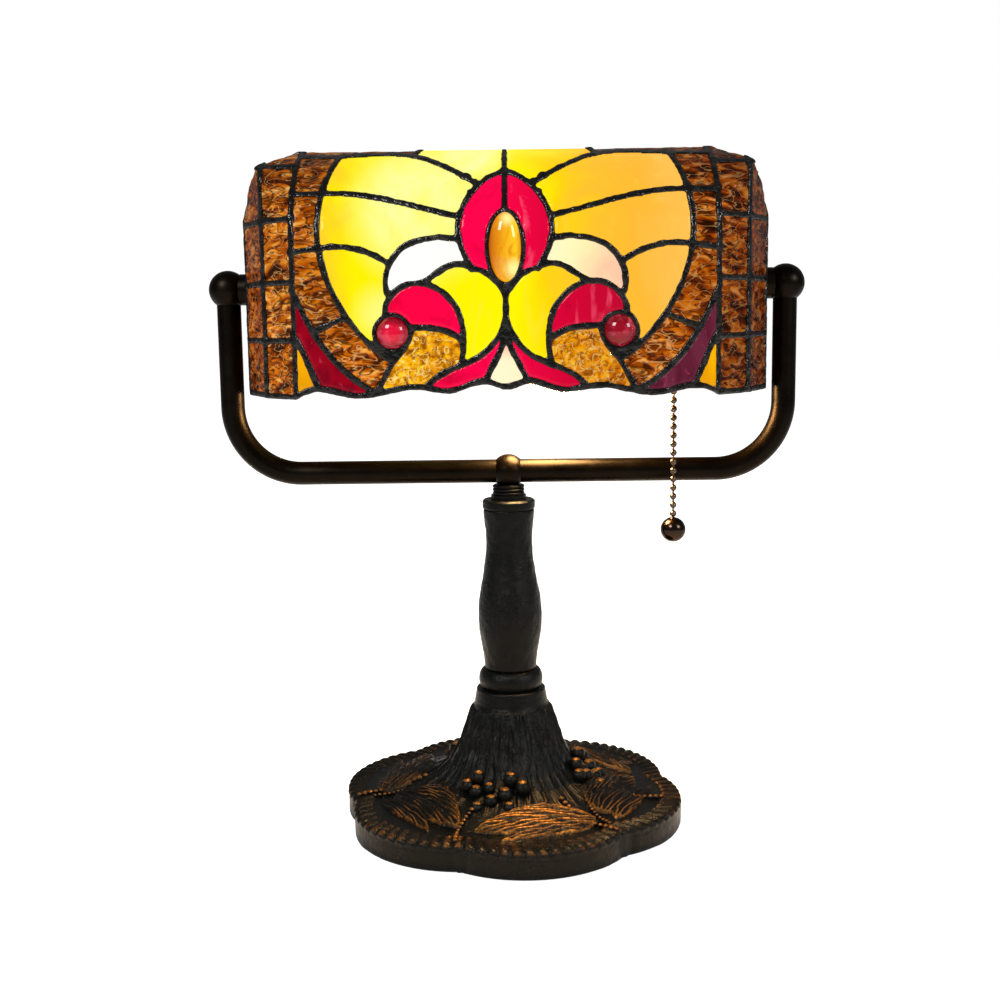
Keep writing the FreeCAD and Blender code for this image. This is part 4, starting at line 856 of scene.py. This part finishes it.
# Wear on the raised relief, plus painted light: a golden lamp glow that is stronger on the front and pooled
# on the front lobe.
painted_front_light = np.clip(0.55 - 0.45 * np.sin(np.arctan2(flat_skin[:, 1], flat_skin[:, 0]) - 0.1), 0.25, 1.0)
spread = np.hypot(flat_skin[:, 0], flat_skin[:, 1])
zone = np.clip((spread - 38) / 8, 0, 1) * np.clip((flat_skin[:, 2] - 12.6) / 0.8, 0, 1)
painted_light_pool = np.exp(-(((flat_skin[:, 0] - 8) / 26) ** 2 + ((flat_skin[:, 1] + 52) / 13) ** 2))
patchy = np.clip(0.26 + 0.8 * noise(flat_skin, 13, 41), 0.03, 1)
wear_and_glow_level = edge.ravel() ** 1.5 * zone * painted_front_light * np.maximum(patchy, 1.2 * painted_light_pool)
wear_and_glow_level = 0.9 * wear_and_glow_level + painted_light_pool * zone * edge.ravel() * 0.35
wear_and_glow = [np.clip(wear_and_glow_level, 0, 1)]
shapes = [(flat_skin.tolist(), [tuple(q) for q in quads.tolist()])]
for middle in BERRY_ANGLES:
    for radius, turn, height, size in BERRIES:
        a = math.radians(middle + turn)
        middle_at = (radius * math.cos(a), radius * math.sin(a), height)
        shapes.append(ball_mesh(middle_at, size, rows=14, around=22))
        spots_at = np.array(shapes[-1][0])
        # Painted highlight: the top of each berry gets the golden glow colour.
        top = (spots_at[:, 2] - height) / size
        wear_and_glow.append(np.clip((top - 0.8) * 4.0, 0, 0.8))
lines = []
for stem in STEM_ANGLES:
    lines += bead_line(77.5, stem - 3, 44, stem - 9, 1.45, 2.7)
    lines += bead_line(70, stem - 1, 50, stem + 5, 1.0, 2.1)
for stem in BERRY_ANGLES:
    lines += bead_line(76.5, stem - 6, 49, stem - 9, 1.3, 2.6)
for x, y, size in lines:
    radius = math.hypot(x, y)
    height = max(float(trunk_height(radius)), 13.7) + 0.75
    shapes.append(ball_mesh((x, y, height), size, rows=8, around=12))
    spots_at = np.array(shapes[-1][0])
    # Painted light: bead tops get the golden glow colour, more on the front beads than the back.
    painted_front_glow = 0.9 if y < 0 else 0.35
    wear_and_glow.append(np.clip((spots_at[:, 2] - height) / size - 0.45, 0, 0.6) * painted_front_glow)
points, faces = joined(shapes)
low, high = cad_limits(["base_casting"])
points = np.clip(points, low, high)
base = piece("base_relief", points, faces, "stand")
set_value(base.data, "wear_and_glow", np.concatenate(wear_and_glow))
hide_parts("base_casting")
finish_piece(base, "bronze_casting")

# ------------------------------------------------------------------ stem
stem = recast("stem_hammered", ["stem_casting"], "stand", 0.8, smooth=2)
points, normals = get_points(stem.data), get_normals(stem.data)
spread = np.hypot(points[:, 0], points[:, 1])
skin_only = np.clip((spread - 9) / 1.0, 0, 1) * np.clip((157.5 - points[:, 2]) / 1.0, 0, 1)
skin_only *= np.clip((points[:, 2] - 77.6) / 1.0, 0, 1)
dents = 0.2 * np.abs(noise(points, (5, 5, 7), 51)) + 0.16 * noise(points, (2.2, 2.2, 3.0), 52)
dents = dents + 0.12 * noise(points, (9, 9, 26), 53)
set_points(stem.data, points + normals * ((dents - 0.05) * skin_only)[:, None])
set_value(stem.data, "wear_and_glow", np.zeros(len(points)))
finish_piece(stem, "bronze_casting")

# ------------------------------------------------------------------ pull chain
CHAIN_X, CHAIN_Y, OUTLET_Z = 79.2, -18.5, 247.8
BEAD, PITCH, WIRE = 3.2, 4.2, 1.0
box_low, box_high = cad_limits(["pull_chain_beads"])
knob_low, knob_high = cad_limits(["pull_ball_knob"])
first = box_high[2] - BEAD / 2
last = box_low[2] + BEAD / 2
count = int(round((first - last) / PITCH)) + 1
shapes = []
for k in range(count):
    z = first - k * PITCH
    shapes.append(ball_mesh((CHAIN_X, CHAIN_Y, z), BEAD / 2, rows=14, around=20))
    if k:
        link, sides = [], []
        for ring, at in enumerate((z + BEAD / 2 - 0.35, z + PITCH / 2, z + PITCH - BEAD / 2 + 0.35)):
            slim = WIRE / 2 * (0.86 if ring == 1 else 1.0)
            for side in range(10):
                a = 2 * math.pi * side / 10
                link.append((CHAIN_X + slim * math.cos(a), CHAIN_Y + slim * math.sin(a), at))
        for ring in range(2):
            for side in range(10):
                p, q = ring * 10 + side, ring * 10 + (side + 1) % 10
                sides.append((p, q, q + 10, p + 10))
        sides.append(tuple(range(9, -1, -1)))
        sides.append(tuple(range(20, 30)))
        shapes.append((link, sides))
points, faces = joined(shapes)
chain = piece("bead_chain", points, faces, "pull_chain")
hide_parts("pull_chain_beads", "pull_chain_wires")
finish_piece(chain, "chain_metal")

knob_radius = (knob_high[0] - knob_low[0]) / 2
profile = [(0.0, knob_high[2])]
profile += [(0.9, knob_high[2]), (1.35, knob_high[2] - 0.35), (1.5, knob_high[2] - 1.1)]
bulge = min(knob_radius, (knob_high[2] - knob_low[2]) / 2)
centre = knob_low[2] + bulge
for step in range(1, 29):
    a = math.radians(16 + step * (164 / 28))
    profile.append((bulge * math.sin(a), centre + bulge * math.cos(a)))
points, faces = [], []
around = 40
for radius, z in profile:
    for k in range(around):
        a = 2 * math.pi * k / around
        points.append((CHAIN_X + radius * math.cos(a), CHAIN_Y + radius * math.sin(a), z))
for row in range(len(profile) - 1):
    for k in range(around):
        p, q = row * around + k, row * around + (k + 1) % around
        faces.append((p, p + around, q + around, q))
knob = piece("pull_knob", points, faces, "pull_chain")
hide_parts("pull_ball_knob")
finish_piece(knob, "chain_metal", KNOB)

# ------------------------------------------------------------------ stage, light and camera
FLOOR_GLOW = 0.95  # how brightly the camera sees the floor by itself; it lights nothing
floor = bpy.data.objects.new("floor", bpy.data.meshes.new("floor"))
floor.data.from_pydata([(-6, -6, 0), (6, -6, 0), (6, 6, 0), (-6, 6, 0)], [], [(0, 1, 2, 3)])
bpy.context.scene.collection.objects.link(floor)
made, tree, shader, place = material("pale_floor")
tone = add(tree, "TexNoise", Vector=place, Scale=2.0, Detail=2.0)
fill(tree, shader, Base_Color=mixed(tree, tone, (0.86, 0.86, 0.86, 1), (0.9, 0.9, 0.9, 1)), Roughness=0.9)
shader.inputs["Emission Color"].default_value = (1, 1, 1, 1)
direct = add(tree, "LightPath", out=0)
fill(tree, shader, Emission_Strength=mapped(tree, direct, 0.0, 1.0, 0.0, FLOOR_GLOW))
shader.inputs["Specular IOR Level"].default_value = 0.0
floor.data.materials.append(made)

world = bpy.data.worlds.new("studio")
bpy.context.scene.world = world
world.use_nodes = True
tree = world.node_tree
tree.nodes.clear()
seen = add(tree, "LightPath", out=0)
plain = add(tree, "Background", Color=(1, 1, 1, 1), Strength=1.0)
soft = add(tree, "Background", Color=(1, 1, 1, 1), Strength=0.14)
both = add(tree, "MixShader", _0=seen, _1=soft, _2=plain)
tree.links.new(both, tree.nodes.new("ShaderNodeOutputWorld").inputs["Surface"])


def soft_light(name, at, target, size, power):
    """A square white area light at a place, turned to a target."""
    lamp = bpy.data.lights.new(name, "AREA")
    lamp.energy, lamp.size = power, size
    holder = bpy.data.objects.new(name, lamp)
    bpy.context.scene.collection.objects.link(holder)
    holder.location = at
    holder.rotation_euler = (Vector(target) - Vector(at)).to_track_quat("-Z", "Y").to_euler()
    return holder


soft_light("key", (-0.9, -1.3, 1.3), (0, 0, 0.15), 0.6, 20)
soft_light("fill", (1.2, -0.9, 0.9), (0, 0, 0.15), 0.5, 10)
soft_light("top", (0.2, 0.9, 1.7), (0, 0, 0.1), 0.9, 12).visible_glossy = False
glow = bpy.data.lights.new("bulb_glow", "POINT")
glow.energy, glow.shadow_soft_size, glow.color = 3.0, 0.025, (1.0, 0.62, 0.26)
lamp = bpy.data.objects.new("bulb_glow", glow)
lamp.location = (0.02, 0.0, 0.226)
lamp.visible_camera = False
bpy.context.scene.collection.objects.link(lamp)

camera = bpy.data.cameras.new("view")
camera.sensor_width = 36
camera.lens = 47.5956
camera.clip_end = 50
holder = bpy.data.objects.new("view", camera)
bpy.context.scene.collection.objects.link(holder)
PAN, TILT, ROLL = 0.61, -7.93, -0.75  # degrees
aim = (Matrix.Rotation(math.radians(PAN), 4, "Z") @ Matrix.Rotation(math.radians(90 + TILT), 4, "X")
       @ Matrix.Rotation(math.radians(ROLL), 4, "Z"))
holder.matrix_world = Matrix.Translation((0.0026, -0.6492, 0.2524)) @ aim
bpy.context.scene.camera = holder
bpy.context.scene.view_settings.view_transform = "Standard"
